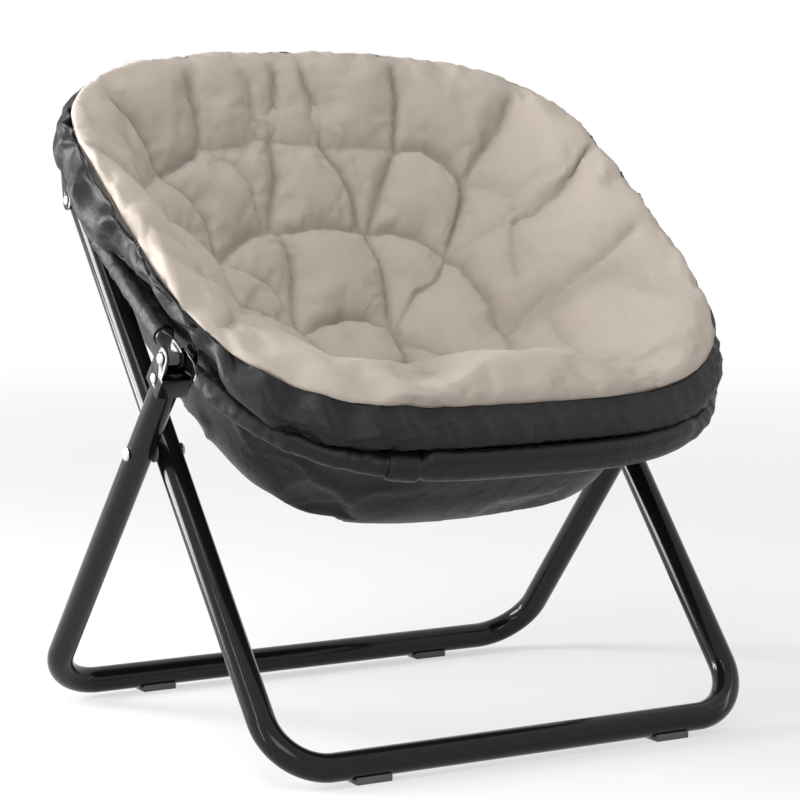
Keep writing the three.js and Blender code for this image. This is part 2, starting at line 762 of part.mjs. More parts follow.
// Height of the padding over the sewn lines: full inside a cell and nothing on its edges.
function tuftAt(share, turn) {
  const here = flatPlace(share, turn);
  const reaches = seams.map((seam) => {
    const parts = seam.slice(1).map((end, index) => reachFrom(here, seam[index], end));
    return Math.min(...parts);
  });
  const edge = Math.min(...reaches, tuftEdgeShare) / tuftEdgeShare;
  return tuftHeight * Math.sqrt(1 - (1 - edge) * (1 - edge));
}

// How much of the front roll there is at a place of the bowl, from none to all.
function lipAt(share, turn) {
  const near = turn > 1 / 2 ? turn - 1 : turn;
  const spread = Math.exp(-((near / lipTurnShare) ** 2));
  const across = Math.exp(-(((share - lipPlaceShare) / lipWidthShare) ** 2));
  return spread * across * ((1 - share ** lipRimPower) / (1 - lipPlaceShare ** lipRimPower));
}

function cushionTop(share, turn) {
  const place = outlineAt(rimForm, turn);
  const along = bowlCentreReach + (place.y - bowlCentreReach) * share;
  const point = rimCentre.clone().addScaledVector(rimAlong, along).setX(place.x * share);
  const lip = lipAt(share, turn);
  const roll = Math.exp(-(((share - rimRollPlaceShare) / rimRollWidthShare) ** 2));
  let height = -cushionDepth * (1 - share ** cushionPower) + lipHeight * lip;
  height += Math.max(tuftAt(share, turn) * (1 - lip), rimRollHeight * roll);
  return point.addScaledVector(rimUp, height);
}

function seatTurns() {
  const turns = [];
  sectorEdgeShares.forEach((edge, sector) => {
    const next = sectorEdgeShares[sector + 1] ?? sectorEdgeShares[0] + 1;
    const stride = (next - edge) / sectorSteps;
    for (let step = 0; step < sectorSteps; step += 1) turns.push(edge + stride * step);
  });
  return turns;
}

const seatTurnPlaces = seatTurns();

function backingRing(share, depth) {
  return seatTurnPlaces.map((turn) => backingPoint(turn, share, depth));
}

// Everything inside the backing, sunk by a depth and closed over at a height above its rim.
function bowlSolid(depth, cover) {
  const rings = backingStationShares.map((share) => backingRing(share, depth)).reverse();
  const raised = backingRing(backingStationShares[0], depth);
  rings.push(raised.map((point) => point.addScaledVector(rimUp, cover)));
  const pole = bowlPole.clone().addScaledVector(hoopUp, depth);
  return solidFrom(loft(rings, pole, rimCentre.clone().addScaledVector(rimUp, cover)));
}

// A bowl-shaped wall between two depths of the backing.
function wallSolid(outerDepth, innerDepth) {
  const cover = backingThickness - outerDepth;
  return bowlSolid(outerDepth, cover).subtract(bowlSolid(innerDepth, cover + backingThickness));
}

function makeCushionSolid() {
  const side = [...backingStationShares].reverse().map((share) => backingRing(share, 0));
  const top = cushionTopShares.map((share) => seatTurnPlaces.map((turn) => cushionTop(share, turn)));
  const whole = solidFrom(loft([...side, backingRing(0, 0), ...top], bowlPole, cushionTop(0, 0)));
  return whole.subtract(wallSolid(-touchGap, backingThickness + touchGap));
}

// Cuts a seat solid square to the hoop, through the hinge, and keeps the front or rear half.
function seatHalf(solid, direction) {
  const width = rimHalfWidth * 4;
  const block = new THREE.BoxGeometry(width, width, width);
  block.translate(0, direction * (width / 2 + splitGap / 2), 0);
  const turn = new THREE.Matrix4().makeBasis(new THREE.Vector3(1, 0, 0), hoopAlong, hoopUp);
  block.applyMatrix4(turn).translate(0, hinge.y, hinge.z);
  return geometryFrom(solid.intersect(solidFrom(block)));
}

// The assembly

makeLegs();
for (const side of [-1, 1]) {
  makePivots(side);
  makeBracket(side);
  makeHingePin(side);
  makeRest(side);
  makeFootPad(`rear_foot_pad_${sideName(side)}`, (side * padSpacing) / 2, rearBar);
  makeFootPad(`front_foot_pad_${sideName(side)}`, (side * padSpacing) / 2, frontBar);
}
makeHoop('front_hoop_tube', -1, frontHoopSteps);
makeHoop('rear_hoop_tube', 1, rearHoopSteps);
makeSleeve('front_hoop_sleeve', -1, frontHoopSteps);
makeSleeve('rear_hoop_sleeve', 1, rearHoopSteps);
const backing = wallSolid(0, backingThickness);
const cushion = makeCushionSolid();
add('front_backing', seatHalf(backing, -1), satin);
add('rear_backing', seatHalf(backing, 1), satin);
add('front_cushion', seatHalf(cushion, -1), taupeCloth);
add('rear_cushion', seatHalf(cushion, 1), taupeCloth);

const footprint = new THREE.Box3().setFromObject(chair);
chair.position.y = -(footprint.min.y + footprint.max.y) / 2;

export default chair;
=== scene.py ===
import functools
import itertools
import json
import math

import bmesh
import bpy
import numpy as np
from mathutils import Matrix, Vector


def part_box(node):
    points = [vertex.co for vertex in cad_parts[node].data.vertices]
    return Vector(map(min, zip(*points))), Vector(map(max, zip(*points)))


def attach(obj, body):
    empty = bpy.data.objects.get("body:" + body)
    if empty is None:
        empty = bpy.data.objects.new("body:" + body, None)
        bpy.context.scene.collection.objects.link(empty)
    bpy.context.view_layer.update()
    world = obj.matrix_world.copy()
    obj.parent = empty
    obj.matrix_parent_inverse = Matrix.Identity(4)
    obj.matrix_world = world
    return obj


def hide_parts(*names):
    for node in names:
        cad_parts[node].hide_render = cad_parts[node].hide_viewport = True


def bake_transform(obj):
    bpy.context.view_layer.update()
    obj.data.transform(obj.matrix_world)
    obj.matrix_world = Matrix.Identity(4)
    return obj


bl_info = {
    "name": "Folding Saucer Chair",
    "version": (1, 0, 0),
    "blender": (4, 5, 0),
    "location": "3D View > Sidebar > Chair",
    "description": "Dresses the frame of a folding saucer chair with its cloth, paint and hardware",
    "category": "Add Mesh",
}

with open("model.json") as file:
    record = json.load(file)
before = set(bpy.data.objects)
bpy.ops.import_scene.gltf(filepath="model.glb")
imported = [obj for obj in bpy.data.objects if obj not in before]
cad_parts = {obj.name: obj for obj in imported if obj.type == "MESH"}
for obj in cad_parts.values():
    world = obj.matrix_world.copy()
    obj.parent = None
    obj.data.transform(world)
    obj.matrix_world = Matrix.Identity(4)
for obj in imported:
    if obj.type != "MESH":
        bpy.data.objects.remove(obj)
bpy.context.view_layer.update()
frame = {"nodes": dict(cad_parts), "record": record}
joint_places = {joint["name"]: Vector(joint["pos_m"]) for joint in frame["record"]["behaviour"]["joints"]}
PIVOT = joint_places["leg_fold"]
HINGE = joint_places["rear_seat_fold"]

TAU = math.tau
QUARTER = math.pi / 2
X_AXIS = Vector((1, 0, 0))
SIDES = ("left", "right")


# Settings


def metres(name, description, default):
    return bpy.props.FloatProperty(name=name, description=description, default=default, unit="LENGTH")


def degrees(name, description, default):
    return bpy.props.FloatProperty(
        name=name, description=description, default=math.radians(default), subtype="ANGLE")


def shade(name, description, red, green, blue):
    return bpy.props.FloatVectorProperty(
        name=name, description=description, default=(red, green, blue, 1.0), size=4, subtype="COLOR")


class SeatSizes(bpy.types.PropertyGroup):
    """Shape of the padded seat, along the hoop's slope and above its plane."""

    hoop_tilt: degrees("Hoop tilt", "Slope of the hoop's plane", 31.5)
    hoop_half_width: metres("Hoop half width", "Middle of the chair to the hoop tube's centre", 0.342)
    hoop_centre: metres("Hoop centre", "Hinge to the hoop's widest place, up the slope", 0.146)
    hoop_front: metres("Hoop front reach", "Widest place to the front", 0.370)
    hoop_rear: metres("Hoop rear reach", "Widest place to the rear", 0.310)
    hoop_tube: metres("Hoop tube radius", "Outside radius of the hoop tube", 0.011)
    rim_tilt: degrees("Rim tilt", "Slope of the cushion's rim", 35.4)
    rim_half_width: metres("Rim half width", "Middle of the chair to the rim", 0.356)
    rim_front: metres("Rim front reach", "Rim's widest place to its front", 0.4626)
    rim_rear: metres("Rim rear reach", "Rim's widest place to its rear", 0.2105)
    rim_past_hinge: metres("Rim past hinge", "Hinge to the rim's widest place, level and backwards", 0.20509)
    rim_above_hinge: metres("Rim above hinge", "Hinge to the rim's widest place, upright", 0.21734)
    bowl_centre: metres("Bowl centre", "Rim's widest place to the bowl's middle, up the slope", -0.126)
    cushion_depth: metres("Cushion depth", "Rim's plane to the cushion's face", 0.211)
    tuft_height: metres("Tuft height", "Sewn line to the top of a puff", 0.034)
    lip_height: metres("Front roll height", "Rise of the stuffed front roll", 0.080)
    backing_bulge: metres("Backing bulge", "Swell of the backing at the front", 0.012)
    backing_rear_bulge: metres("Rear bulge", "Further swell of the backing at the rear", 0.014)
    bowl_depth: metres("Bowl depth", "Hoop's plane to the bottom of the backing", 0.210)


class FrameSizes(bpy.types.PropertyGroup):
    """Tubes of the legs."""

    leg_tube: metres("Leg tube radius", "Outside radius of the leg tubes", 0.016)
    leg_wall: metres("Tube wall", "Wall of the tubes", 0.0012)
    leg_corner: metres("Corner radius", "Bend of the leg tubes at the floor", 0.066)
    bar_height: metres("Bar height", "Floor to the centre of a floor bar", 0.0203)
    foot_span: metres("Foot span", "Front bar to rear bar", 0.5424)
    rear_arm: metres("Rear leg arm", "Middle of the chair to the rear leg's arms", 0.3426)
    front_arm: metres("Front leg arm", "Middle of the chair to the front leg's arms", 0.3076)
    rear_reach: metres("Rear leg reach", "Leg pivot to the rear leg's tips", 0.138)
    front_reach: metres("Front leg reach", "Leg pivot to the front leg's tips", 0.380)


class ChairColours(bpy.types.PropertyGroup):
    """Colours of the cloth, paint and steel."""

    cloth: shade("Cushion cloth", "Short-nap face cloth", 0.500, 0.440, 0.385)
    # Painted shade: a darker cloth colour put down in the sewn lines and the roll's creases, where shade
    # falls
    cloth_painted_shade: shade("Cushion creases", "Cloth down in the sewn lines", 0.200, 0.165, 0.135)
    satin: shade("Backing satin", "Satin of the backing and sleeves", 0.0062, 0.0055, 0.0055)
    paint: shade("Tube paint", "Gloss paint of the tubes", 0.0060, 0.0052, 0.0052)
    dust: shade("Dust", "Dust on the tops of the tubes", 0.10, 0.095, 0.09)
    zinc: shade("Zinc", "Plated rivets and bolts", 0.56, 0.56, 0.55)
    plastic: shade("Plastic", "Foot pads and spacers", 0.018, 0.018, 0.018)


class StageSettings(bpy.types.PropertyGroup):
    """Camera."""

    lens: bpy.props.FloatProperty(
        name="Lens", description="Camera's focal length in millimetres", default=120.8)
    azimuth: degrees("Azimuth", "Camera's turn round the chair", -30.31)
    elevation: degrees("Elevation", "Camera's look downwards", 6.17)
    roll: degrees("Roll", "Camera's turn about its own line of sight", -0.05)
    place: bpy.props.FloatVectorProperty(
        name="Place", description="Camera's place", size=3, subtype="TRANSLATION",
        default=(-1.6067, -2.7453, 0.7232))


def seat():
    return bpy.context.scene.chair_seat


def tubes():
    return bpy.context.scene.chair_frame


def colours():
    return bpy.context.scene.chair_colours


# Meshes


def link_object(name, data):
    piece = bpy.data.objects.new(name, data)
    bpy.context.scene.collection.objects.link(piece)
    return piece


def mesh_object(name, points, faces, material):
    """A smooth piece at the origin from points in metres and lists of corners."""
    mesh = bpy.data.meshes.new(name)
    mesh.from_pydata([tuple(point) for point in points], [], faces)
    mesh.update()
    piece = link_object(name, mesh)
    mesh.materials.append(material)
    mesh.shade_smooth()
    return piece


def ring_steps(columns):
    """Each column and the one after it, from the last back to the first."""
    return [(column, (column + 1) % columns) for column in range(columns)]


def grid_faces(rows, columns, first=0):
    """Quads over rows of points that are closed on themselves, the first point numbered first."""
    return [
        (row + here, row + after, row + columns + after, row + columns + here)
        for row in range(first, first + (rows - 1) * columns, columns)
        for here, after in ring_steps(columns)]


def fan_faces(first, columns, pole):
    """Triangles from a row of points, its first point numbered first, to one pole."""
    return [(first + here, first + after, pole) for here, after in ring_steps(columns)]


def turn_outwards(mesh, merge=1e-6):
    """Turns a closed mesh's faces outwards, once points no further apart than merge are made one."""
    shape = bmesh.new()
    shape.from_mesh(mesh)
    if merge:
        bmesh.ops.remove_doubles(shape, verts=shape.verts, dist=merge)
    bmesh.ops.recalc_face_normals(shape, faces=shape.faces)
    shape.to_mesh(mesh)
    shape.free()
    mesh.shade_smooth()


def mark_sharp(piece, angle=math.radians(38)):
    """Keeps edges sharper than the angle crisp under smooth shading."""
    piece.data.set_sharp_from_angle(angle=angle)


def apply_modifiers(piece):
    """Bakes the piece's modifiers into its own mesh."""
    depsgraph = bpy.context.evaluated_depsgraph_get()
    baked = bpy.data.meshes.new_from_object(piece.evaluated_get(depsgraph))
    piece.modifiers.clear()
    piece.data = baked


def own(piece, body, slot_name, *nodes):
    """Hangs the piece on the empty of the body it rides on and hides the CAD nodes that it stands for. The
    slot name is not used.
    """
    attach(piece, body)
    if nodes:
        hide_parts(*nodes)


def smooth_step(low, high, value):
    share = np.clip((value - low) / (high - low), 0, 1)
    return share * share * (3 - 2 * share)


def bell(value, width):
    """1 where the value is 0, falling off to 0 over a few widths."""
    return np.exp(-(value / width) ** 2)


def around(columns):
    """Turns of that many even columns, from 0 to 1."""
    return np.arange(columns) / columns


def directions(path):
    """Unit direction of a path at each of its points."""
    ahead = np.gradient(path, axis=0)
    return ahead / np.linalg.norm(ahead, axis=1, keepdims=True)


HASH_PRIMES = (73856093, 19349663, 83492791)
HASH_SEED, HASH_MIX = 2654435761, 1274126177
HASH_MASK = 65535


def value_noise(points, seed, scale=1):
    """Smooth noise from -1 to 1 at rows of 3-D points, with that many cells to a unit."""
    points = points * scale
    cell = np.floor(points).astype(np.int64)
    part = points - cell
    part = part * part * (3 - 2 * part)
    total = 0
    for corner in itertools.product((0, 1), repeat=3):
        mixed = seed * HASH_SEED
        share = 1
        for axis, (step, prime) in enumerate(zip(corner, HASH_PRIMES)):
            mixed = (cell[..., axis] + step) * prime ^ mixed
            share = share * (part[..., axis] if step else 1 - part[..., axis])
        mixed = (mixed ^ (mixed >> 13)) * HASH_MIX
        total = total + share * (((mixed ^ (mixed >> 16)) & HASH_MASK) / (HASH_MASK / 2) - 1)
    return total


# The seat's surfaces, as the CAD model has them

HOOP_FRONT_POWER, HOOP_REAR_POWER = 3.2, 4.0
RIM_FRONT_POWER, RIM_REAR_POWER = 3.9, 2.6
# Where the backing meets the inside of the hoop, and its dent beside the hinge
HUG_INSET, HUG_RISE, HUG_DROP, HUG_EASE = 0.0143, 0.021, 0.005, 0.0016
DENT_DEPTH, DENT_REACH = 0.00725, 0.032
# The bowl under the hoop: where it is drawn in, its middle, roundness and rows
DRAW_DROP, DRAW_SHARE = 0.046, 0.82
BACKING_CENTRE, BOWL_POWER, BOWL_SHARES = 0.102, 2.45, (0, 0.3, 0.55, 0.78)
# Step in turns for a slope, halvings of a search, and a distance that counts as none
PROBE, HALVINGS, TOUCHING = 0.002, 40, 1e-4


def slope(tilt):
    """Unit steps up a slope and square to it."""
    along = np.array((0, math.cos(tilt), math.sin(tilt)))
    above = np.array((0, -math.sin(tilt), math.cos(tilt)))
    return along, above


def above_hoop():
    return slope(seat().hoop_tilt)[1]


def outline(turns, half_width, centre, front, rear, front_power, rear_power):
    """Rounded-square outline: turn 0 is the front, a quarter turn is the -X side."""
    ahead = np.cos(turns * TAU)
    aside = np.sin(turns * TAU)
    power = np.where(ahead > 0, front_power, rear_power)
    reach = np.where(ahead > 0, front, rear)
    norm = (np.abs(ahead) ** power + np.abs(aside) ** power) ** (-1 / power)
    return -half_width * aside * norm, centre - reach * ahead * norm


def hoop_outline(turns):
    size = seat()
    return outline(turns, size.hoop_half_width, size.hoop_centre, size.hoop_front, size.hoop_rear,
                   HOOP_FRONT_POWER, HOOP_REAR_POWER)


def rim_outline(turns):
    size = seat()
    return outline(turns, size.rim_half_width, 0, size.rim_front, size.rim_rear,
                   RIM_FRONT_POWER, RIM_REAR_POWER)


def on_plane(origin, tilt, x, along, above):
    """Points on a sloping plane, from their place across, up the slope and above it."""
    ahead, up = slope(tilt)
    x, along, above = np.broadcast_arrays(x, along, above)
    points = np.array(origin) * (0, 1, 1) + along[..., None] * ahead + above[..., None] * up
    points[..., 0] = x
    return points


def on_hoop(x, along, above):
    return on_plane(HINGE, seat().hoop_tilt, x, along, above)


def on_rim(x, along, above):
    size = seat()
    origin = np.array(HINGE) + (0, size.rim_past_hinge, size.rim_above_hinge)
    return on_plane(origin, size.rim_tilt, x, along, above)


def hoop_turn_at(along):
    """Turn at which the hoop's -X side is that far up the slope from the hinge."""
    low, high = 0.0, 0.5
    for _ in range(HALVINGS):
        middle = (low + high) / 2
        if hoop_outline(np.array(middle))[1] < along:
            low = middle
        else:
            high = middle
    return low


def backing_section(turns):
    """Rows of points from the rim down to the bowl's bottom, for each turn."""
    size = seat()
    rim = on_rim(*rim_outline(turns), 0)
    x, along = hoop_outline(turns)
    before_x, before = hoop_outline(turns - PROBE)
    after_x, after = hoop_outline(turns + PROBE)
    length = np.hypot(after_x - before_x, after - before)
    out_x, out_along = -(after - before) / length, (after_x - before_x) / length

    def hug(depth, above):
        return on_hoop(x - out_x * depth, along - out_along * depth, above)

    inset = HUG_INSET + DENT_DEPTH * bell(along, DENT_REACH)
    upper = hug(inset, HUG_RISE)
    bulge = size.backing_bulge + size.backing_rear_bulge * (1 - np.cos(turns * TAU)) / 2
    swell = (rim + upper) / 2 + hug(-bulge, 0) - hug(0, 0)
    rows = [rim, swell, upper, hug(inset + HUG_EASE, -HUG_DROP)]
    for share in BOWL_SHARES:
        angle = share * QUARTER
        scale = DRAW_SHARE * math.cos(angle) ** (2 / BOWL_POWER)
        drop = (size.bowl_depth - DRAW_DROP) * math.sin(angle) ** (2 / BOWL_POWER)
        rows.append(on_hoop(x * scale, BACKING_CENTRE + (along - BACKING_CENTRE) * scale, -DRAW_DROP - drop))
    rows.append(on_hoop(x * 0, BACKING_CENTRE + x * 0, -size.bowl_depth))
    return np.stack(rows)


def along_section(rows, share):
    """Point at a share of the way along the centripetal spline through rows of points."""
    last = len(rows) - 1
    here = min(int(share * last), last - 1)
    weight = share * last - here
    first = rows[here - 1] if here > 0 else 2 * rows[0] - rows[1]
    fourth = rows[here + 2] if here + 2 <= last else 2 * rows[last] - rows[last - 1]
    four = [first, rows[here], rows[here + 1], fourth]
    p0, p1, p2, p3 = four
    gaps = [np.sqrt(np.linalg.norm(b - a, axis=-1))[..., None] for a, b in zip(four, four[1:])]
    gaps[1] = np.where(gaps[1] < TOUCHING, 1, gaps[1])
    for end in (0, 2):
        gaps[end] = np.where(gaps[end] < TOUCHING, gaps[1], gaps[end])
    leave = (p1 - p0) / gaps[0] - (p2 - p0) / (gaps[0] + gaps[1]) + (p2 - p1) / gaps[1]
    arrive = (p2 - p1) / gaps[1] - (p3 - p1) / (gaps[1] + gaps[2]) + (p3 - p2) / gaps[2]
    leave, arrive = leave * gaps[1], arrive * gaps[1]
    return (
        p1 + leave * weight
        + (3 * (p2 - p1) - 2 * leave - arrive) * (weight * weight)
        + (2 * (p1 - p2) + leave + arrive) * weight ** 3
    )


def section_rows(turns, shares):
    """Rows of the backing's surface at shares of the way from the rim to the bowl's bottom."""
    section = backing_section(turns)
    return np.stack([along_section(section, share) for share in shares])


def surface_normals(points):
    """Unit normals of a grid of points that is closed along its second axis."""
    down = np.gradient(points, axis=0)
    across = np.roll(points, -1, axis=1) - np.roll(points, 1, axis=1)
    normals = np.cross(across, down)
    length = np.linalg.norm(normals, axis=-1, keepdims=True)
    return normals / np.maximum(length, 1e-9)


def outward_normals(rows):
    """Unit normals of the backing's rows; at turn 0, the front, outward is towards -Y."""
    normals = surface_normals(rows)
    return -normals if normals[0, 0, 1] > 0 else normals


# Tufting

# Sewn lines of the face: how deep each is, then its places as (share of the way out, turn)
SEAMS = (
    (1.0, (0.187, 0.239), (0.125, 0.389), (0.145, 0.518), (0.142, 0.616), (0.185, 0.766)),
    (1.0, (0.185, 0.766), (0.182, 0.86), (0.18, 0.99), (0.18, 0.12), (0.187, 0.239)),
    (1.0, (0.463, 0.333), (0.462, 0.379), (0.485, 0.416), (0.488, 0.443)),
    (0.9, (0.488, 0.443), (0.492, 0.51), (0.48, 0.561)),
    (1.0, (0.48, 0.561), (0.49, 0.595), (0.489, 0.636), (0.477, 0.687)),
    (1.0, (0.477, 0.687), (0.49, 0.735), (0.495, 0.79), (0.487, 0.833)),
    (0.9, (0.487, 0.833), (0.48, 0.9), (0.47, 0.97), (0.47, 0.06), (0.47, 0.14), (0.465, 0.225)),
    (0.9, (0.465, 0.225), (0.485, 0.28), (0.463, 0.333)),
    (0.7, (0.463, 0.333), (0.40, 0.345), (0.305, 0.374), (0.245, 0.363), (0.187, 0.239)),
    (0.9, (0.48, 0.455), (0.382, 0.452), (0.303, 0.433), (0.187, 0.239)),
    (0.9, (0.48, 0.565), (0.385, 0.593), (0.31, 0.618), (0.23, 0.658), (0.185, 0.766)),
    (0.8, (0.477, 0.687), (0.398, 0.719), (0.325, 0.698), (0.26, 0.719), (0.185, 0.766)),
    (0.8, (0.185, 0.8), (0.33, 0.86), (0.47, 0.9)),
    (0.8, (0.187, 0.239), (0.32, 0.235), (0.465, 0.225)),
    (0.9, (0.73, 0.36), (0.628, 0.369), (0.555, 0.37), (0.463, 0.333)),
    (0.7, (0.742, 0.416), (0.692, 0.436), (0.625, 0.444), (0.55, 0.437), (0.488, 0.437)),
    (1.0, (0.933, 0.486), (0.855, 0.484), (0.75, 0.475), (0.647, 0.472), (0.573, 0.46), (0.488, 0.443)),
    (1.0, (0.742, 0.517), (0.662, 0.535), (0.595, 0.548), (0.48, 0.561)),
    (1.0, (0.743, 0.578), (0.68, 0.577), (0.62, 0.575), (0.542, 0.573), (0.482, 0.57)),
    (1.0, (0.743, 0.578), (0.757, 0.6), (0.735, 0.622), (0.695, 0.646), (0.65, 0.656), (0.59, 0.665),
     (0.477, 0.687)),
    (0.6, (0.477, 0.687), (0.538, 0.707), (0.6, 0.724), (0.68, 0.742)),
    (1.0, (0.923, 0.36), (0.872, 0.368), (0.812, 0.369), (0.73, 0.36)),
    (1.0, (0.73, 0.36), (0.725, 0.385), (0.742, 0.408), (0.79, 0.419)),
    (1.0, (0.79, 0.419), (0.845, 0.424), (0.92, 0.427)),
    (0.8, (0.759, 0.414), (0.745, 0.43), (0.748, 0.452), (0.767, 0.463)),
    (0.8, (0.767, 0.463), (0.825, 0.465), (0.9, 0.466)),
    (0.8, (0.767, 0.463), (0.757, 0.479), (0.738, 0.497), (0.742, 0.517)),
    (0.9, (0.937, 0.504), (0.863, 0.513), (0.742, 0.517)),
    (0.5, (0.89, 0.524), (0.82, 0.521), (0.742, 0.519)),
    (0.7, (0.742, 0.517), (0.73, 0.547), (0.743, 0.578)),
    (1.0, (0.955, 0.564), (0.887, 0.571), (0.743, 0.578)),
    (1.0, (0.94, 0.645), (0.862, 0.649), (0.787, 0.646), (0.695, 0.646)),
    (0.6, (0.69, 0.647), (0.695, 0.678), (0.71, 0.714), (0.68, 0.742)),
    (1.0, (0.962, 0.739), (0.9, 0.75), (0.82, 0.754), (0.722, 0.753), (0.68, 0.742)),
    (0.8, (0.68, 0.742), (0.615, 0.767), (0.582, 0.789)),
    (0.9, (0.487, 0.833), (0.543, 0.823), (0.605, 0.814), (0.662, 0.817), (0.765, 0.811), (0.92, 0.801)),
    (0.9, (0.61, 0.815), (0.6, 0.83), (0.592, 0.853), (0.63, 0.885), (0.73, 0.919), (0.82, 0.925)),
    (0.8, (0.73, 0.36), (0.745, 0.31), (0.73, 0.265)),
    (0.8, (0.463, 0.333), (0.6, 0.30), (0.73, 0.265)),
    (0.8, (0.73, 0.265), (0.84, 0.262), (0.93, 0.262)),
    (0.8, (0.73, 0.265), (0.745, 0.215), (0.72, 0.165), (0.60, 0.17), (0.465, 0.225)),
    (0.8, (0.72, 0.165), (0.84, 0.15), (0.93, 0.146)),
)
# How far off the shallowest line seems, and how far out a line's end still draws in the cloth
SHALLOW_SEAM, KNOT_LIMIT, FAR_AWAY = 0.03, 0.8, 9.0
# Blown skin: cells across the disc, its half width, passes, and the roundness of its puffs
PUFF_CELLS, PUFF_REACH, PUFF_PASSES = 241, 1.02, 700
PUFF_ROUND, PUFF_SOFT, SMOOTH_PASSES = 0.085, 0.012, 2
# Hold of a sewn line, which has a half width in cells and grows with the line's depth
HOLD_HALF_WIDTH, HOLD_SCALE, HOLD_POWER, HOLD_FULL = 0.7, 0.05, 1.6, 1.001
BOWL_FACE_POWER = 1.75
# Front roll: its crown's share of the way out, its reach inwards, outwards and round the rim
LIP_PLACE, LIP_INNER, LIP_OUTER, LIP_TURN, LIP_RIM_POWER, LIP_SMOOTH = 0.7, 0.2, 0.29, 0.19, 10, 0.9
# Creases of the roll: their turns, depth, width, and the shares over which they fade in and out
LOBE_TURNS, LOBE_DEPTH, LOBE_WIDTH = (0.042, 0.93, 0.822), 0.014, 0.016
LOBE_INNER, LOBE_OUTER = (0.35, 0.55), (0.97, 0.78)


def flat_place(share, turn):
    """Place on a flat disc of radius 1 that stands for the bowl."""
    return np.stack([np.cos(turn * TAU) * share, np.sin(turn * TAU) * share], axis=-1)


def line_distance(here, places):
    """Distance of places on the flat disc from one sewn line."""
    line = [flat_place(*place) for place in places]
    nearest = np.full(here.shape[:-1], FAR_AWAY)
    for start, end in zip(line, line[1:]):
        step = end - start
        part = np.clip(((here - start) @ step) / (step @ step), 0, 1)
        nearest = np.minimum(nearest, np.linalg.norm(here - start - part[..., None] * step, axis=-1))
    return nearest


def seam_distance(share, turn):
    """Distance of places of the bowl from the sewn lines and from the points where these meet."""
    here = flat_place(share, turn)
    edges = np.full(here.shape[:-1], FAR_AWAY)
    knots = np.full(here.shape[:-1], FAR_AWAY)
    for depth, *places in SEAMS:
        edges = np.minimum(edges, line_distance(here, places) + (1 - depth) * SHALLOW_SEAM)
        for place in (places[0], places[-1]):
            if place[0] < KNOT_LIMIT:
                knots = np.minimum(knots, np.linalg.norm(here - flat_place(*place), axis=-1))
    return edges, knots


def four_beside(grid):
    """Sum of the four neighbours of each inner cell."""
    return grid[2:, 1:-1] + grid[:-2, 1:-1] + grid[1:-1, 2:] + grid[1:-1, :-2]


@functools.cache
def blown_disc():
    """A skin over the flat disc, blown up by air and held down at the sewn lines and the rim."""
    line = np.linspace(-PUFF_REACH, PUFF_REACH, PUFF_CELLS)
    step = line[1] - line[0]
    here = np.stack(np.meshgrid(line, line, indexing="ij"), axis=-1)
    inside = np.linalg.norm(here, axis=-1) < 1
    hold = np.zeros(inside.shape)
    for depth, *places in SEAMS:
        strength = HOLD_SCALE * (depth / (HOLD_FULL - depth)) ** HOLD_POWER
        hold = np.maximum(hold, np.where(line_distance(here, places) < step * HOLD_HALF_WIDTH, strength, 0))
    scale = inside[1:-1, 1:-1] / (1 + hold[1:-1, 1:-1])
    rise = np.zeros(inside.shape)
    for _ in range(PUFF_PASSES):
        rise[1:-1, 1:-1] = (four_beside(rise) + step * step) / 4 * scale
    height = 1 - np.exp(-(np.sqrt(2 * rise + PUFF_SOFT ** 2) - PUFF_SOFT) / PUFF_ROUND)
    for _ in range(SMOOTH_PASSES):
        height[1:-1, 1:-1] = height[1:-1, 1:-1] / 2 + four_beside(height) / 8
    return height


def puff_share(share, turn):
    """Height of the puffs: 0 at a sewn line and at the rim, and about 1 on top."""
    disc = blown_disc()
    cell = (flat_place(share, turn) + PUFF_REACH) / (2 * PUFF_REACH) * (PUFF_CELLS - 1)
    low = np.clip(np.floor(cell).astype(int), 0, PUFF_CELLS - 2)
    part = cell - low
    i, j, u, v = low[..., 0], low[..., 1], part[..., 0], part[..., 1]
    near = disc[i, j] * (1 - u) + disc[i + 1, j] * u
    far = disc[i, j + 1] * (1 - u) + disc[i + 1, j + 1] * u
    return near * (1 - v) + far * v


def lip_share(share, turn):
    """How much of the front roll there is, from 0 to 1."""
    near = (turn + 0.5) % 1 - 0.5
    across = bell(share - LIP_PLACE, np.where(share < LIP_PLACE, LIP_INNER, LIP_OUTER))
    fade = (1 - share ** LIP_RIM_POWER) / (1 - LIP_PLACE ** LIP_RIM_POWER)
    return bell(near, LIP_TURN) * across * fade


def lobe_crease(share, turn):
    """Depth of the creases that part the front roll."""
    fade = smooth_step(*LOBE_OUTER, share) * smooth_step(*LOBE_INNER, share)
    depth = 0
    for place in LOBE_TURNS:
        apart = (turn - place + 0.5) % 1 - 0.5
        depth = depth + bell(apart, LOBE_WIDTH)
    return LOBE_DEPTH * depth * fade


def cushion_face(share, turn):
    """The cushion's face at shares of the way out from the bowl's middle."""
    size = seat()
    x, along = rim_outline(turn)
    lip = lip_share(share, turn)
    bowl = -size.cushion_depth * (1 - share ** BOWL_FACE_POWER) + size.lip_height * lip
    puffs = size.tuft_height * puff_share(share, turn) * (1 - LIP_SMOOTH * lip)
    along = size.bowl_centre + (along - size.bowl_centre) * share
    return on_rim(x * share, along, bowl + puffs - lobe_crease(share, turn))


# Cloth

CLOTH_SETTINGS = {
    "quality": 5,
    "mass": 0.25,
    "tension_stiffness": 22,
    "compression_stiffness": 12,
    "shear_stiffness": 6,
    "bending_stiffness": 0.25,
    "use_pressure": True,
}
CLOTH_FRAMES = 16


def point_places(mesh):
    places = np.empty(len(mesh.vertices) * 3)
    mesh.vertices.foreach_get("co", places)
    return places.reshape(-1, 3)


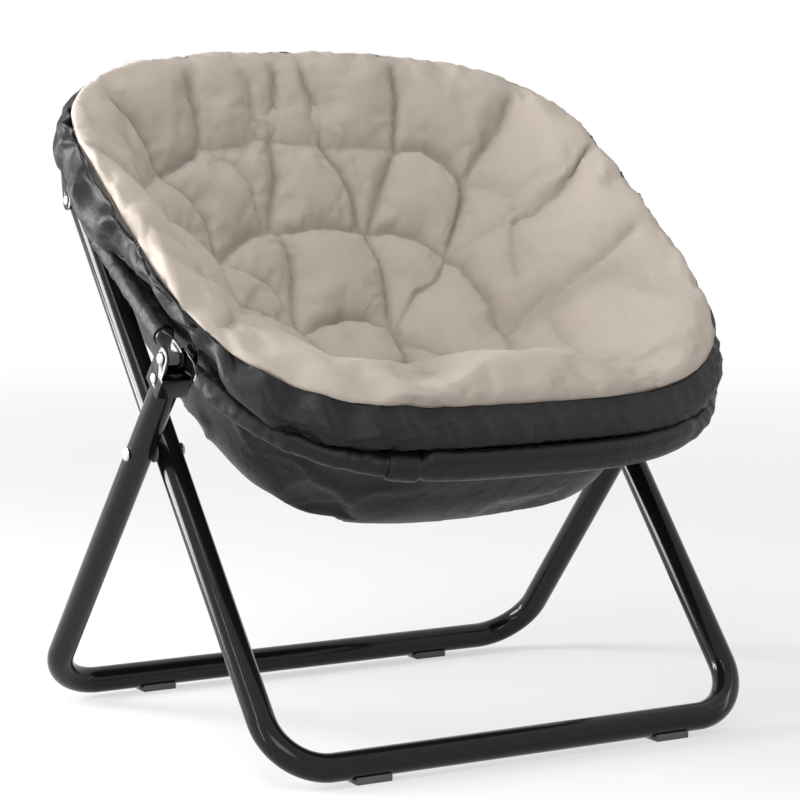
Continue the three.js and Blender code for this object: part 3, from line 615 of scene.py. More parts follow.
def settle_cloth(piece, pins, pressure, shrink, cap):
    """Runs the cloth with those pin weights, moves no point further than cap, and keeps the result."""
    start = point_places(piece.data)
    group = piece.vertex_groups.new(name="pin")
    levels = np.round(np.asarray(pins), 2)
    for level in np.unique(levels[levels > 0]):
        group.add([int(index) for index in np.flatnonzero(levels == level)], float(level), "REPLACE")
    cloth = piece.modifiers.new("settle", "CLOTH")
    settings = cloth.settings
    for key, value in CLOTH_SETTINGS.items():
        setattr(settings, key, value)
    settings.uniform_pressure_force = pressure
    settings.vertex_group_mass = group.name
    settings.shrink_min = shrink
    settings.effector_weights.gravity = 0
    cloth.collision_settings.use_collision = False
    cloth.point_cache.frame_start = 1
    cloth.point_cache.frame_end = CLOTH_FRAMES
    scene = bpy.context.scene
    for number in range(1, CLOTH_FRAMES + 1):
        scene.frame_set(number)
    end = point_places(piece.evaluated_get(bpy.context.evaluated_depsgraph_get()).to_mesh())
    piece.modifiers.clear()
    piece.vertex_groups.clear()
    scene.frame_set(1)
    move = end - start
    length = np.linalg.norm(move, axis=1, keepdims=True)
    move *= np.minimum(1, cap / np.maximum(length, 1e-9))
    piece.data.vertices.foreach_set("co", (start + move).ravel())
    piece.data.update()


# Shared shader effects

FLOAT, VECTOR = "NodeSocketFloat", "NodeSocketVector"
# Mottle: how much finer and fainter the small variation is, its mean height, and its usual heights
FINE_RATIO, FINE_SHARE, MOTTLE_MEAN, MOTTLE_RANGE = 9, 0.6, 0.8, (0.4, 1.2)
# Weave: share of the third set of threads, and the heights that the sum of all three reaches
THIRD_THREADS, THREAD_RANGE = 0.5, (-1.5, 1.5)
# Paint: noise that counts as a scuff, how far up a face looks where dust lies, and the most dust
SCUFF_RANGE, DUST_RANGE, DUST_MOST = (0.66, 0.74), (0.5, 1), 0.06
PAINT_ROUGHNESS, SCUFF_ROUGHNESS, DUST_ROUGHNESS = 0.17, 0.16, 0.6


def feed(tree, socket, value):
    """Sets an input to a plain value, or links it to an output."""
    if isinstance(value, bpy.types.NodeSocket):
        tree.links.new(value, socket)
    else:
        socket.default_value = value


def feed_named(tree, sockets, inputs):
    """Feeds inputs by name, where the names have underscores for spaces."""
    for key, value in inputs.items():
        feed(tree, sockets[key.replace("_", " ")], value)


def add_node(tree, kind, settings=None, **inputs):
    node = tree.nodes.new(kind)
    for key, value in (settings or {}).items():
        setattr(node, key, value)
    feed_named(tree, node.inputs, inputs)
    return node


def add_sockets(tree, in_out, *sockets):
    """Gives a node group named sockets, each as (name, kind) or (name, kind, default)."""
    for name, kind, *default in sockets:
        socket = tree.interface.new_socket(name, in_out=in_out, socket_type=kind)
        if default:
            socket.default_value = default[0]


def noise(tree, vector, scale, detail, roughness=0.5, **inputs):
    return add_node(tree, "ShaderNodeTexNoise", Vector=vector, Scale=scale, Detail=detail,
                    Roughness=roughness, **inputs).outputs["Fac"]


def maths(tree, operation, *values):
    node = add_node(tree, "ShaderNodeMath", {"operation": operation})
    for socket, value in zip(node.inputs, values):
        feed(tree, socket, value)
    return node.outputs[0]


def map_range(tree, value, low, high, to_low, to_high):
    return add_node(tree, "ShaderNodeMapRange", Value=value, From_Min=low, From_Max=high,
                    To_Min=to_low, To_Max=to_high).outputs["Result"]


def split(tree, vector):
    return add_node(tree, "ShaderNodeSeparateXYZ", Vector=vector).outputs


def mottle_group():
    """Soft large and small colour variation, as a factor about 1, and its own height."""
    group = bpy.data.node_groups.new("mottle", "ShaderNodeTree")
    add_sockets(group, "INPUT", ("Vector", VECTOR), ("Scale", FLOAT, 12.0), ("Amount", FLOAT, 0.1))
    add_sockets(group, "OUTPUT", ("Factor", FLOAT), ("Height", FLOAT))
    entry = group.nodes.new("NodeGroupInput").outputs
    broad = noise(group, entry["Vector"], scale=entry["Scale"], detail=3)
    fine = noise(group, entry["Vector"], scale=maths(group, "MULTIPLY", entry["Scale"], FINE_RATIO), detail=4)
    height = maths(group, "ADD", broad, maths(group, "MULTIPLY", fine, FINE_SHARE))
    change = maths(group, "MULTIPLY", maths(group, "SUBTRACT", height, MOTTLE_MEAN), entry["Amount"])
    add_node(group, "NodeGroupOutput", Factor=maths(group, "ADD", change, 1.0), Height=height)
    return group


def weave_group():
    """Height of crossed threads at a pitch in metres, for a bump."""
    group = bpy.data.node_groups.new("weave", "ShaderNodeTree")
    add_sockets(group, "INPUT", ("Vector", VECTOR), ("Pitch", FLOAT, 0.0006))
    add_sockets(group, "OUTPUT", ("Height", FLOAT))
    entry = group.nodes.new("NodeGroupInput").outputs
    turns = maths(group, "DIVIDE", TAU, entry["Pitch"])
    axes = split(group, entry["Vector"])
    waves = []
    for first, second in ("XY", "YZ", "ZX"):
        place = maths(group, "ADD", axes[first], axes[second])
        waves.append(maths(group, "SINE", maths(group, "MULTIPLY", place, turns)))
    crossed = maths(group, "MULTIPLY", waves[0], waves[1])
    total = maths(group, "ADD", crossed, maths(group, "MULTIPLY", waves[2], THIRD_THREADS))
    add_node(group, "NodeGroupOutput", Height=map_range(group, total, *THREAD_RANGE, 0.0, 1.0))
    return group


GROUP_MAKERS = {"mottle": mottle_group, "weave": weave_group}


def use_group(tree, name, **inputs):
    """Places a shared effect, which is made the first time it is asked for."""
    group = bpy.data.node_groups.get(name) or GROUP_MAKERS[name]()
    return add_node(tree, "ShaderNodeGroup", {"node_tree": group}, **inputs).outputs


def new_material(name, mottle_scale, mottle_amount, **inputs):
    """A Principled material, its tree and shader, its Object coordinates, and its mottle."""
    material = bpy.data.materials.new(name)
    material.use_nodes = True
    tree = material.node_tree
    shader = tree.nodes["Principled BSDF"].inputs
    feed_named(tree, shader, inputs)
    place = tree.nodes.new("ShaderNodeTexCoord").outputs["Object"]
    mottle = use_group(tree, "mottle", Vector=place, Scale=mottle_scale, Amount=mottle_amount)
    return material, tree, shader, place, mottle


def mixed_colour(tree, factor, first, second):
    """Two plain colours mixed by a factor that changes over the surface."""
    return add_node(tree, "ShaderNodeMix", {"data_type": "RGBA"}, Factor=factor, A=tuple(first),
                    B=tuple(second)).outputs["Result"]


def tint(tree, shader, colour, mottle):
    """Base colour, from a socket or a plain colour, times the mottle's factor."""
    mix = add_node(tree, "ShaderNodeVectorMath", {"operation": "SCALE"}, Scale=mottle["Factor"])
    feed(tree, mix.inputs[0], colour if isinstance(colour, bpy.types.NodeSocket) else tuple(colour)[:3])
    feed(tree, shader["Base Color"], mix.outputs[0])


def roughen(tree, shader, mottle, smooth, rough):
    """Roughness that follows the mottle's height."""
    feed(tree, shader["Roughness"], map_range(tree, mottle["Height"], *MOTTLE_RANGE, smooth, rough))


def bump(tree, shader, *layers):
    """Chains bump nodes, each from (height, distance in metres, strength), into the shader."""
    chain = {}
    for height, distance, strength in layers:
        node = add_node(
            tree, "ShaderNodeBump", Strength=strength, Distance=distance, Height=height, **chain)
        chain = {"Normal": node.outputs["Normal"]}
    feed_named(tree, shader, chain)


# Finishes


def cloth_finish(name):
    """Short-nap face cloth with painted shade down in the sewn lines, and a soft napped bump."""
    material, tree, shader, place, mottle = new_material(
        name, mottle_scale=14.0, mottle_amount=0.13, Sheen_Weight=0.22, Sheen_Roughness=0.5,
        Sheen_Tint=(1.0, 0.93, 0.86, 1.0), Specular_IOR_Level=0.25)
    # Painted shade: this point attribute mixes the cloth towards its darker colour in the sewn lines and the
    # roll's creases
    painted_crease_shade = add_node(tree, "ShaderNodeAttribute", {"attribute_name": "painted_crease_shade"}).outputs["Fac"]
    tint(tree, shader, mixed_colour(tree, painted_crease_shade, colours().cloth, colours().cloth_painted_shade), mottle)
    roughen(tree, shader, mottle, smooth=0.86, rough=0.97)
    nap = noise(tree, place, scale=900, detail=3, roughness=0.65)
    soft = noise(tree, place, scale=55, detail=4, roughness=0.55)
    weave = use_group(tree, "weave", Vector=place, Pitch=0.0016)["Height"]
    bump(tree, shader, (soft, 0.004, 0.22), (weave, 0.0003, 0.35), (nap, 0.0006, 0.5))
    return material


def satin_finish(name):
    """Black satin: smooth with a broad sheen, a fine weave and faint creases."""
    material, tree, shader, place, mottle = new_material(
        name, mottle_scale=9.0, mottle_amount=0.25, Sheen_Weight=0.03, Sheen_Roughness=0.4,
        Specular_IOR_Level=0.25)
    tint(tree, shader, colours().satin, mottle)
    roughen(tree, shader, mottle, smooth=0.33, rough=0.52)
    weave = use_group(tree, "weave", Vector=place, Pitch=0.0011)["Height"]
    crumple = noise(tree, place, scale=34, detail=5, roughness=0.6, Distortion=0.8)
    bump(tree, shader, (crumple, 0.006, 0.32), (weave, 0.0002, 0.25))
    return material


def paint_finish(name):
    """Gloss black paint with a slight orange peel, dust on upward faces and scuffs."""
    material, tree, shader, place, mottle = new_material(
        name, mottle_scale=22.0, mottle_amount=0.12, Coat_Weight=0.2, Coat_Roughness=0.06,
        Specular_IOR_Level=0.15)
    scuffs = map_range(tree, noise(tree, place, scale=160, detail=6, roughness=0.7), *SCUFF_RANGE, 0, 1)
    upward = split(tree, tree.nodes.new("ShaderNodeNewGeometry").outputs["Normal"])["Z"]
    dust = maths(tree, "MULTIPLY", map_range(tree, upward, *DUST_RANGE, 0, DUST_MOST), mottle["Height"])
    tint(tree, shader, mixed_colour(tree, dust, colours().paint, colours().dust), mottle)
    rough = maths(tree, "ADD", maths(tree, "MULTIPLY", scuffs, SCUFF_ROUGHNESS), PAINT_ROUGHNESS)
    dusty = maths(tree, "MULTIPLY", dust, DUST_ROUGHNESS)
    feed(tree, shader["Roughness"], maths(tree, "ADD", rough, dusty))
    bump(tree, shader, (noise(tree, place, scale=420, detail=2), 0.0002, 0.12))
    return material


def zinc_finish(name):
    """Bright zinc plate with a fine turned grain and darker patches."""
    material, tree, shader, place, mottle = new_material(
        name, mottle_scale=140.0, mottle_amount=0.35, Metallic=1.0)
    tint(tree, shader, colours().zinc, mottle)
    roughen(tree, shader, mottle, smooth=0.22, rough=0.42)
    bump(tree, shader, (noise(tree, place, scale=2600, detail=2), 0.0001, 0.2))
    return material


def plastic_finish(name):
    """Moulded black plastic with a fine grain."""
    material, tree, shader, place, mottle = new_material(
        name, mottle_scale=60.0, mottle_amount=0.2, Roughness=0.55)
    tint(tree, shader, colours().plastic, mottle)
    bump(tree, shader, (noise(tree, place, scale=1800, detail=3), 0.0002, 0.35))
    return material


def thread_finish(name):
    """Twisted sewing thread."""
    material, tree, shader, place, mottle = new_material(
        name, mottle_scale=300.0, mottle_amount=0.3, Roughness=0.7, Sheen_Weight=0.2)
    tint(tree, shader, colours().cloth, mottle)
    bump(tree, shader, (noise(tree, place, scale=3000, detail=2), 0.0002, 0.5))
    return material


FINISHES = {
    "taupe_nap": cloth_finish, "black_satin": satin_finish, "gloss_black_paint": paint_finish,
    "zinc_plate": zinc_finish, "black_plastic": plastic_finish, "taupe_thread": thread_finish,
}


def finish(name):
    """A finish of this chair, made the first time it is asked for."""
    return bpy.data.materials.get(name) or FINISHES[name](name)


# Seat pieces

FACE_TURNS = 360
FACE_ROWS = 104
FACE_EASE = 0.18
SKIRT_SHARES = (0.02, 0.016, 0.012, 0.008, 0.003)
SKIRT_ROWS = len(SKIRT_SHARES)
SKIRT_INSET = 0.4
UNDER_SHARES = np.linspace(0.05, 0.95, 26)
UNDER_SINK = 0.012
FOLD_START, FOLD_END = 0.26, -0.15
# Small pleats beside the sewn lines and their ends, as (how near, height)
EDGE_PLEATS, KNOT_PLEATS = (0.045, 0.0011), (0.075, 0.0020)
# Noise of the small pleats, as (seed, cells to a metre, share), and the broad drift's noise and height
PLEAT_NOISE, DRIFT_NOISE, DRIFT_HEIGHT = ((5, 95, 0.6), (9, 190, 0.4)), (3, 26), 0.0022
# Where a distance from a sewn line or its end leaves the cloth free, and where it holds it
EDGE_PINS, KNOT_PINS = (0.016, 0.007), (0.05, 0.025)
# Painted shade that darkens the cloth in the sewn lines, as (how much, how near), and in the roll's creases
LINE_PAINTED_SHADES, ROLL_PAINTED_SHADE = ((0.50, 0.012), (0.10, 0.035)), 0.3


def blend_seat(piece):
    """Bakes the piece's place into its mesh. The points on the hoop where the fold starts and ends are found
    but not used.
    """
    start, end = on_hoop(0.0, FOLD_START, 0.0), on_hoop(0.0, FOLD_END, 0.0)
    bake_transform(piece)


def face_shares():
    """Rows of the cushion's face from the rim towards the middle, closer together at the rim."""
    steps = np.linspace(0, 1, FACE_ROWS)[:-1]
    return 1 - steps * (1 - FACE_EASE + FACE_EASE * steps)


def cushion_points():
    """Rows of the skirt and the face, and each point's distance from sewn lines and their ends."""
    turns = around(FACE_TURNS)
    skirt = section_rows(turns, SKIRT_SHARES)
    inset = np.array(SKIRT_SHARES)[:, None, None] * SKIRT_INSET
    shares = face_shares()[:, None]
    face = cushion_face(shares, turns[None])
    free = np.ones((SKIRT_ROWS, FACE_TURNS))
    edges, knots = (np.concatenate([free, found]) for found in seam_distance(shares, turns[None]))
    return np.concatenate([skirt - outward_normals(skirt) * inset, face]), edges, knots


def fine_creases(points, edges, knots):
    """Height of the small pleats that run out of the sewn lines and their junctions."""
    ripple = sum(value_noise(points, seed, scale) * share for seed, scale, share in PLEAT_NOISE)
    height = sum(
        rise * bell(apart, near) for apart, (near, rise) in ((edges, EDGE_PLEATS), (knots, KNOT_PLEATS)))
    return ripple * height + value_noise(points, *DRIFT_NOISE) * DRIFT_HEIGHT


def make_cushion():
    points, edges, knots = cushion_points()
    rows, columns = points.shape[:2]
    points = points + surface_normals(points) * fine_creases(points, edges, knots)[..., None]
    turns = around(columns)[None]
    shares = np.concatenate([np.ones(SKIRT_ROWS), face_shares()])[:, None]
    lip = lip_share(shares, turns)
    lip[:SKIRT_ROWS] = 0
    flat = np.concatenate([points.reshape(-1, 3), points[-1].mean(axis=0)[None]])
    faces = grid_faces(rows, columns) + fan_faces((rows - 1) * columns, columns, len(flat) - 1)
    piece = mesh_object("tufted_cushion", flat, faces, finish("taupe_nap"))
    if piece.data.polygons[-1].normal.z < 0:
        piece.data.flip_normals()

    pins = np.maximum(smooth_step(*EDGE_PINS, edges), smooth_step(*KNOT_PINS, knots)) * (1 - lip)
    pins[:SKIRT_ROWS] = 1
    settle_cloth(piece, np.append(pins.ravel(), 0), pressure=1.6, shrink=-0.025, cap=0.012)

    # Painted shade in the sewn lines and in the roll's creases, weaker on the front roll and none on the
    # skirt, stored on the points for the cloth's colour
    painted_crease_shade = sum(dark * bell(edges, near) for dark, near in LINE_PAINTED_SHADES) * (1 - lip)
    roll_shade_mask = lobe_crease(shares, turns) / LOBE_DEPTH
    painted_crease_shade = np.maximum(painted_crease_shade, np.clip(roll_shade_mask, 0, 1) * ROLL_PAINTED_SHADE)
    painted_crease_shade[:SKIRT_ROWS] = 0
    close_underside(piece, columns)
    values = np.zeros(len(piece.data.vertices), dtype=np.float32)
    values[:painted_crease_shade.size] = painted_crease_shade.ravel()
    piece.data.attributes.new("painted_crease_shade", "FLOAT", "POINT").data.foreach_set("value", values)
    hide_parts("front_cushion", "rear_cushion")
    blend_seat(piece)


def close_underside(piece, columns):
    """Closes the cushion below its seam with rows just inside the backing."""
    top = piece.data
    rows = section_rows(around(columns), UNDER_SHARES)
    rows = rows - outward_normals(rows) * UNDER_SINK
    pole = on_hoop(0.0, BACKING_CENTRE, UNDER_SINK - seat().bowl_depth)
    offset = len(top.vertices)
    together = np.concatenate([point_places(top), rows.reshape(-1, 3), pole[None]])
    faces = [tuple(face.vertices) for face in top.polygons]
    under = [(here, after, offset + after, offset + here) for here, after in ring_steps(columns)]
    under += grid_faces(len(rows), columns, first=offset)
    under += fan_faces(offset + (len(rows) - 1) * columns, columns, len(together) - 1)
    closed = bpy.data.meshes.new(top.name)
    closed.from_pydata(together.tolist(), [], faces + [face[::-1] for face in under])
    closed.materials.append(top.materials[0])
    turn_outwards(closed, merge=0)
    piece.data = closed


BACKING_TURNS, BACKING_ROWS, BACKING_WALL = 260, 104, 0.0016
# Share of the way down at which the first row lies, rows that are held there, and the hold at the bottom
SEAM_SHARE, SEAM_ROWS, POLE_PINS = 0.008, 2, (0.97, 0.99)
# Shares of the way down between which the backing hugs the hoop, and over which it leaves it
HUG_FROM, HUG_TO, HUG_EDGE, HUG_ABOVE, HUG_BELOW = 0.235, 0.40, 0.03, 0.07, 0.06
# Shares over which the gathers at the rim fade in, and those under the hoop fade in and out
RIM_GATHERS, UNDER_FROM, UNDER_TO = (0.3, 0.06), (0.40, 0.47), (0.86, 0.5)
PLEATS, PLEAT_WAVER, PLEAT_POWER, PLEAT_LEAST = 46, 5, 1.8, 0.4
RIDGE_POWER, FOLD_WANDER, SWAG_UNDER = 6, 0.011, 0.5
PLEAT_RISE, SWAG_RISE, BROAD_RISE, RIDGE_RISE = 0.0080, 0.0080, 0.0045, 0.0060
# The calm stretch at the front: its place and width in turns, how calm and how held it is, and its rows
CALM_MIDDLE, CALM_WIDTH, CALM_POWER, CALM_SHARE, CALM_PIN, CALM_ROWS = 0.56, 0.13, 4, 0.88, 0.95, (0.45, 0.35)
BULGE_PLACE, BULGE_START, BULGE_OUT, BULGE_DOWN = 0.18, 0.02, 0.015, 0.007
# Turns from a hinge over which the bulge begins, and where the rear wall is slack
HINGE_CLEAR, SLACK_MIDDLE, SLACK_WIDTH, SLACK_SHARE = (0.02, 0.07), 0.76, 0.16, 0.6


def backing_folds(points, share, turns):
    """Outward height of the satin's gathers: pleats from the rim's seam and below the hoop."""
    seam = smooth_step(*RIM_GATHERS, share)
    under = smooth_step(*UNDER_FROM, share) * smooth_step(*UNDER_TO, share)
    hold = smooth_step(HUG_FROM - HUG_ABOVE, HUG_FROM, share) * smooth_step(HUG_TO + HUG_BELOW, HUG_TO, share)
    angle = (turns + value_noise(points, 21, scale=9) * FOLD_WANDER) * TAU
    pleat = np.sin(angle * PLEATS + PLEAT_WAVER * value_noise(points, 4, scale=5)) * 0.5 + 0.5
    weight = PLEAT_LEAST + (1 - PLEAT_LEAST) * np.abs(value_noise(points, 8, scale=11))
    pleat = pleat ** PLEAT_POWER * weight
    swag = np.abs(value_noise(points, 12, scale=(13, 13, 22)))
    broad = value_noise(points, 17, scale=(7, 7, 9))
    ridge = (1 - np.abs(value_noise(points, 31, scale=(16, 16, 30)))) ** RIDGE_POWER
    height = PLEAT_RISE * pleat * seam + SWAG_RISE * swag * (seam + SWAG_UNDER * under)
    height = height + BROAD_RISE * broad * under + RIDGE_RISE * ridge * (under + seam)
    return height * (1 - hold) * (1 - CALM_SHARE * front_calm(turns))


def front_calm(turns):
    """How smooth the satin is drawn along the front, from 0 to 1."""
    return np.exp(-(((turns + CALM_MIDDLE) % 1 - 0.5) / CALM_WIDTH) ** CALM_POWER)


def backing_bulge(share, turns):
    """How far the satin sags out over the hoop, away from the hinges."""
    hinge_turn = hoop_turn_at(0.0)
    apart = np.minimum(np.abs(turns - hinge_turn), np.abs(turns - 1 + hinge_turn))
    clear = smooth_step(*HINGE_CLEAR, apart) * (1 - SLACK_SHARE * bell(turns - SLACK_MIDDLE, SLACK_WIDTH))
    rise = smooth_step(BULGE_START, BULGE_PLACE, share)
    return clear * rise * smooth_step(HUG_FROM + HUG_EDGE, BULGE_PLACE, share)


def make_backing():
    turns = around(BACKING_TURNS)[None]
    shares = (SEAM_SHARE + (1 - SEAM_SHARE) * np.linspace(0, 1, BACKING_ROWS)[:-1])[:, None]
    points = section_rows(turns[0], shares[:, 0])
    normals = outward_normals(points)
    points = points + normals * backing_folds(points, shares, turns)[..., None]
    bulge = backing_bulge(shares, turns)[..., None]
    points = points + bulge * (normals * BULGE_OUT - above_hoop() * BULGE_DOWN)
    pole = on_hoop(0.0, BACKING_CENTRE, -seat().bowl_depth)
    rows, columns = points.shape[:2]
    flat = np.concatenate([points.reshape(-1, 3), pole[None]])
    faces = grid_faces(rows, columns) + fan_faces((rows - 1) * columns, columns, len(flat) - 1)
    piece = mesh_object("satin_backing", flat, faces, finish("black_satin"))
    if piece.data.polygons[-1].normal.z > 0:
        piece.data.flip_normals()
    hug = smooth_step(HUG_FROM - HUG_EDGE, HUG_FROM, shares) * smooth_step(HUG_TO + HUG_EDGE, HUG_TO, shares)
    pins = np.maximum(hug, smooth_step(*POLE_PINS, shares))
    pins[:SEAM_ROWS] = 1
    calm = front_calm(turns) * smooth_step(*CALM_ROWS, shares) * CALM_PIN
    pins = np.round(np.maximum(pins, calm), 1).ravel()
    settle_cloth(piece, np.append(pins, 1), pressure=0.5, shrink=-0.035, cap=0.007)
    wall = piece.modifiers.new("wall", "SOLIDIFY")
    wall.thickness = BACKING_WALL
    wall.offset = -1
    apply_modifiers(piece)
    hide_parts("front_backing", "rear_backing")
    blend_seat(piece)


STITCH_PITCH, STITCH_LENGTH, THREAD_RADIUS, STITCH_LIFT = 0.0052, 0.0034, 0.00042, 0.0006
STITCH_SHARES = (0.003, 0.005, 0.007)


def stitch_tree():
    """Geometry nodes: short threads in line along a run, at an even pitch."""
    tree = bpy.data.node_groups.new("stitch_run", "GeometryNodeTree")
    add_sockets(tree, "INPUT", ("Run", "NodeSocketGeometry"), ("Pitch", FLOAT, STITCH_PITCH),
                ("Length", FLOAT, STITCH_LENGTH), ("Thread radius", FLOAT, THREAD_RADIUS),
                ("Thread", "NodeSocketMaterial"))
    add_sockets(tree, "OUTPUT", ("Stitches", "NodeSocketGeometry"))
    entry = tree.nodes.new("NodeGroupInput").outputs
    run = add_node(tree, "GeometryNodeMeshToCurve", Mesh=entry["Run"])
    even = add_node(tree, "GeometryNodeResampleCurve", {"mode": "LENGTH"},
                    Curve=run.outputs["Curve"], Length=entry["Pitch"])
    tangent = tree.nodes.new("GeometryNodeInputTangent").outputs["Tangent"]
    aim = add_node(tree, "FunctionNodeAlignRotationToVector", {"axis": "Z"}, Vector=tangent)
    thread = add_node(tree, "GeometryNodeMeshUVSphere", Segments=6, Rings=5, Radius=1.0)
    size = add_node(tree, "ShaderNodeCombineXYZ", X=entry["Thread radius"], Y=entry["Thread radius"],
                    Z=maths(tree, "MULTIPLY", entry["Length"], 0.5))
    copies = add_node(tree, "GeometryNodeInstanceOnPoints", Points=even.outputs["Curve"],
                      Instance=thread.outputs["Mesh"], Rotation=aim.outputs["Rotation"],
                      Scale=size.outputs["Vector"])
    real = add_node(tree, "GeometryNodeRealizeInstances", Geometry=copies.outputs["Instances"])
    done = add_node(tree, "GeometryNodeSetMaterial", Geometry=real.outputs["Geometry"],
                    Material=entry["Thread"])
    add_node(tree, "NodeGroupOutput", Stitches=done.outputs["Geometry"])
    return tree


def make_stitches():
    """One row of stitches round the rim, just above the seam."""
    rows = section_rows(around(FACE_TURNS * 2), STITCH_SHARES)
    run = rows[1] + outward_normals(rows)[1] * STITCH_LIFT
    mesh = bpy.data.meshes.new("rim_stitches")
    mesh.from_pydata(run.tolist(), ring_steps(len(run)), [])
    piece = link_object("rim_stitches", mesh)
    maker = piece.modifiers.new("stitches", "NODES")
    maker.node_group = stitch_tree()
    for socket in maker.node_group.interface.items_tree:
        if socket.name == "Thread" and socket.in_out == "INPUT":
            maker[socket.identifier] = finish("taupe_thread")
    apply_modifiers(piece)
    piece.data.shade_smooth()
    blend_seat(piece)


# Tubes and sleeves

SLEEVE_START, SLEEVE_RADIUS, SLEEVE_FOLD, SLEEVE_SIDES, SLEEVE_CLEARANCE = 0.043, 0.0118, 0.0027, 40, 0.0001
# A sleeve's gathers wind round the tube, and smaller folds run along it, both in turns or cells to a metre
TWIST_RATE, TWIST_WAVER, TWIST_WANDER, TWIST_SHARE = 190, 2.2, 3, 0.55
FOLD_CELLS, FOLD_STRETCH, FOLD_SHARE = 60, 40, 0.75
GATHER_LEAST = 0.35
# Distances from a sleeve's end over which the gathers begin, and at which the turned hem stops
HEM_LENGTH, HEM_RISE = 0.012, 0.0007
HEM_GATHERS, HEM_EDGE = (HEM_LENGTH * 0.6, HEM_LENGTH * 1.6), (HEM_LENGTH, HEM_LENGTH * 0.8)
# The calm band on the front of the hoop: its ends across the chair, how soft they are, and its height
BAND_FROM, BAND_TO, BAND_SMOOTH = -0.164, 0.215, 0.85
BAND_IN, BAND_OUT, FLUSH_IN = 0.012, 0.03, (0.016, 0.03)
BAND_TOP, BAND_FOOT, BAND_POWER = 0.010, 0.004, 3
FRONT_SLEEVE_STEPS, REAR_SLEEVE_STEPS, TAB_STEPS = 420, 620, 600
TAB_LENGTH, TAB_EDGE_RADIUS, TAB_SWELL, TAB_EASE = 0.036, 0.0152, 0.0012, 2
# The flattened ends of the hoop tube, which hold the hinge bolt
BLADE_HALF, BLADE_WIDTH, BLADE_GAP, BLADE_TIP = 0.0025, 0.0112, 0.00015, 0.05
FLAT_START, FLAT_END, ROUND_START, ROUND_JOIN = 0.003, 0.018, 0.042, 0.002
TIP_STEPS, FLAT_STEPS, NECK_STEPS = 7, 4, 8
HOOP_SIDES, HOOP_STEPS = 36, 150
LEG_SIDES, ARM_STEPS, CORNER_STEPS, CORNER_START = 48, 14, 24, 1.04


def swept(name, path, across, halves, sides, look, hollow=False):
    """A tube along a path that lies in the plane square to across; halves is its half sizes."""
    ahead = directions(path)
    across = np.asarray(across) / np.linalg.norm(across)
    side = np.cross(ahead, across)
    side /= np.linalg.norm(side, axis=1, keepdims=True)
    halves = np.broadcast_to(np.asarray(halves, dtype=float), (len(path), 2))
    angles = around(sides) * TAU
    ring = path[:, None] + across * (halves[:, 0, None] * np.cos(angles))[..., None]
    ring = ring + side[:, None] * (halves[:, 1, None] * np.sin(angles))[..., None]
    rings = list(ring)
    if hollow:
        wall, depth = tubes().leg_wall, tubes().leg_tube * 2
        for place, step in ((0, 1), (-1, -1)):
            centre = path[place]
            inner = centre + (ring[place] - centre) * (1 - wall / halves[place, 0])
            deep = inner + ahead[place] * depth * step
            rings = [deep, inner] + rings if place == 0 else rings + [inner, deep]
    count = len(rings)
    points = np.concatenate(rings + [rings[0].mean(axis=0)[None], rings[-1].mean(axis=0)[None]])
    faces = grid_faces(count, sides)
    faces += fan_faces(0, sides, count * sides) + fan_faces((count - 1) * sides, sides, count * sides + 1)
    return crisp_piece(name, points, faces, look)


def crisp_piece(name, points, faces, look):
    """A closed piece with its faces outwards and its sharp edges kept."""
    piece = mesh_object(name, points, faces, finish(look))
    turn_outwards(piece.data)
    mark_sharp(piece)
    return piece


def capped_faces(rows, columns):
    """Quads over rows of points, with one flat face at each end."""
    last = (rows - 1) * columns
    return grid_faces(rows, columns) + [tuple(range(columns)), tuple(range(last, last + columns))]


def hoop_path(direction, start, steps):
    """Centre line of the front half of the hoop, or of the rear half where direction is 1."""
    first = hoop_turn_at(direction * start)
    last = -first if direction < 0 else 1 - first
    x, along = hoop_outline(np.linspace(first, last, steps))
    return on_hoop(x, along, 0), x


def sleeve_radius(place, ahead, travel, angles, band):
    """Radius of a gathered sleeve, at rows of points on its plain tube."""
    wander = TWIST_WANDER * value_noise(place, 6, scale=30)
    twist = np.sin(travel[:, None] * TWIST_RATE + TWIST_WAVER * np.sin(angles) + wander) * 0.5 + 0.5
    stretched = place * FOLD_CELLS + ahead[:, None] * (travel[:, None, None] * FOLD_STRETCH)
    fold = twist ** 2 * TWIST_SHARE + np.abs(value_noise(stretched, 14)) * FOLD_SHARE
    broad = value_noise(place, 2, scale=16) * 0.5 + 0.5
    gathers = fold * (GATHER_LEAST + (1 - GATHER_LEAST) * broad)
    hem = np.minimum(travel, travel[-1] - travel)
    loose = smooth_step(*HEM_GATHERS, hem) * (1 - BAND_SMOOTH * band)
    radius = SLEEVE_RADIUS + SLEEVE_FOLD * gathers * loose[:, None]
    return radius + (HEM_RISE * smooth_step(*HEM_EDGE, hem))[:, None]


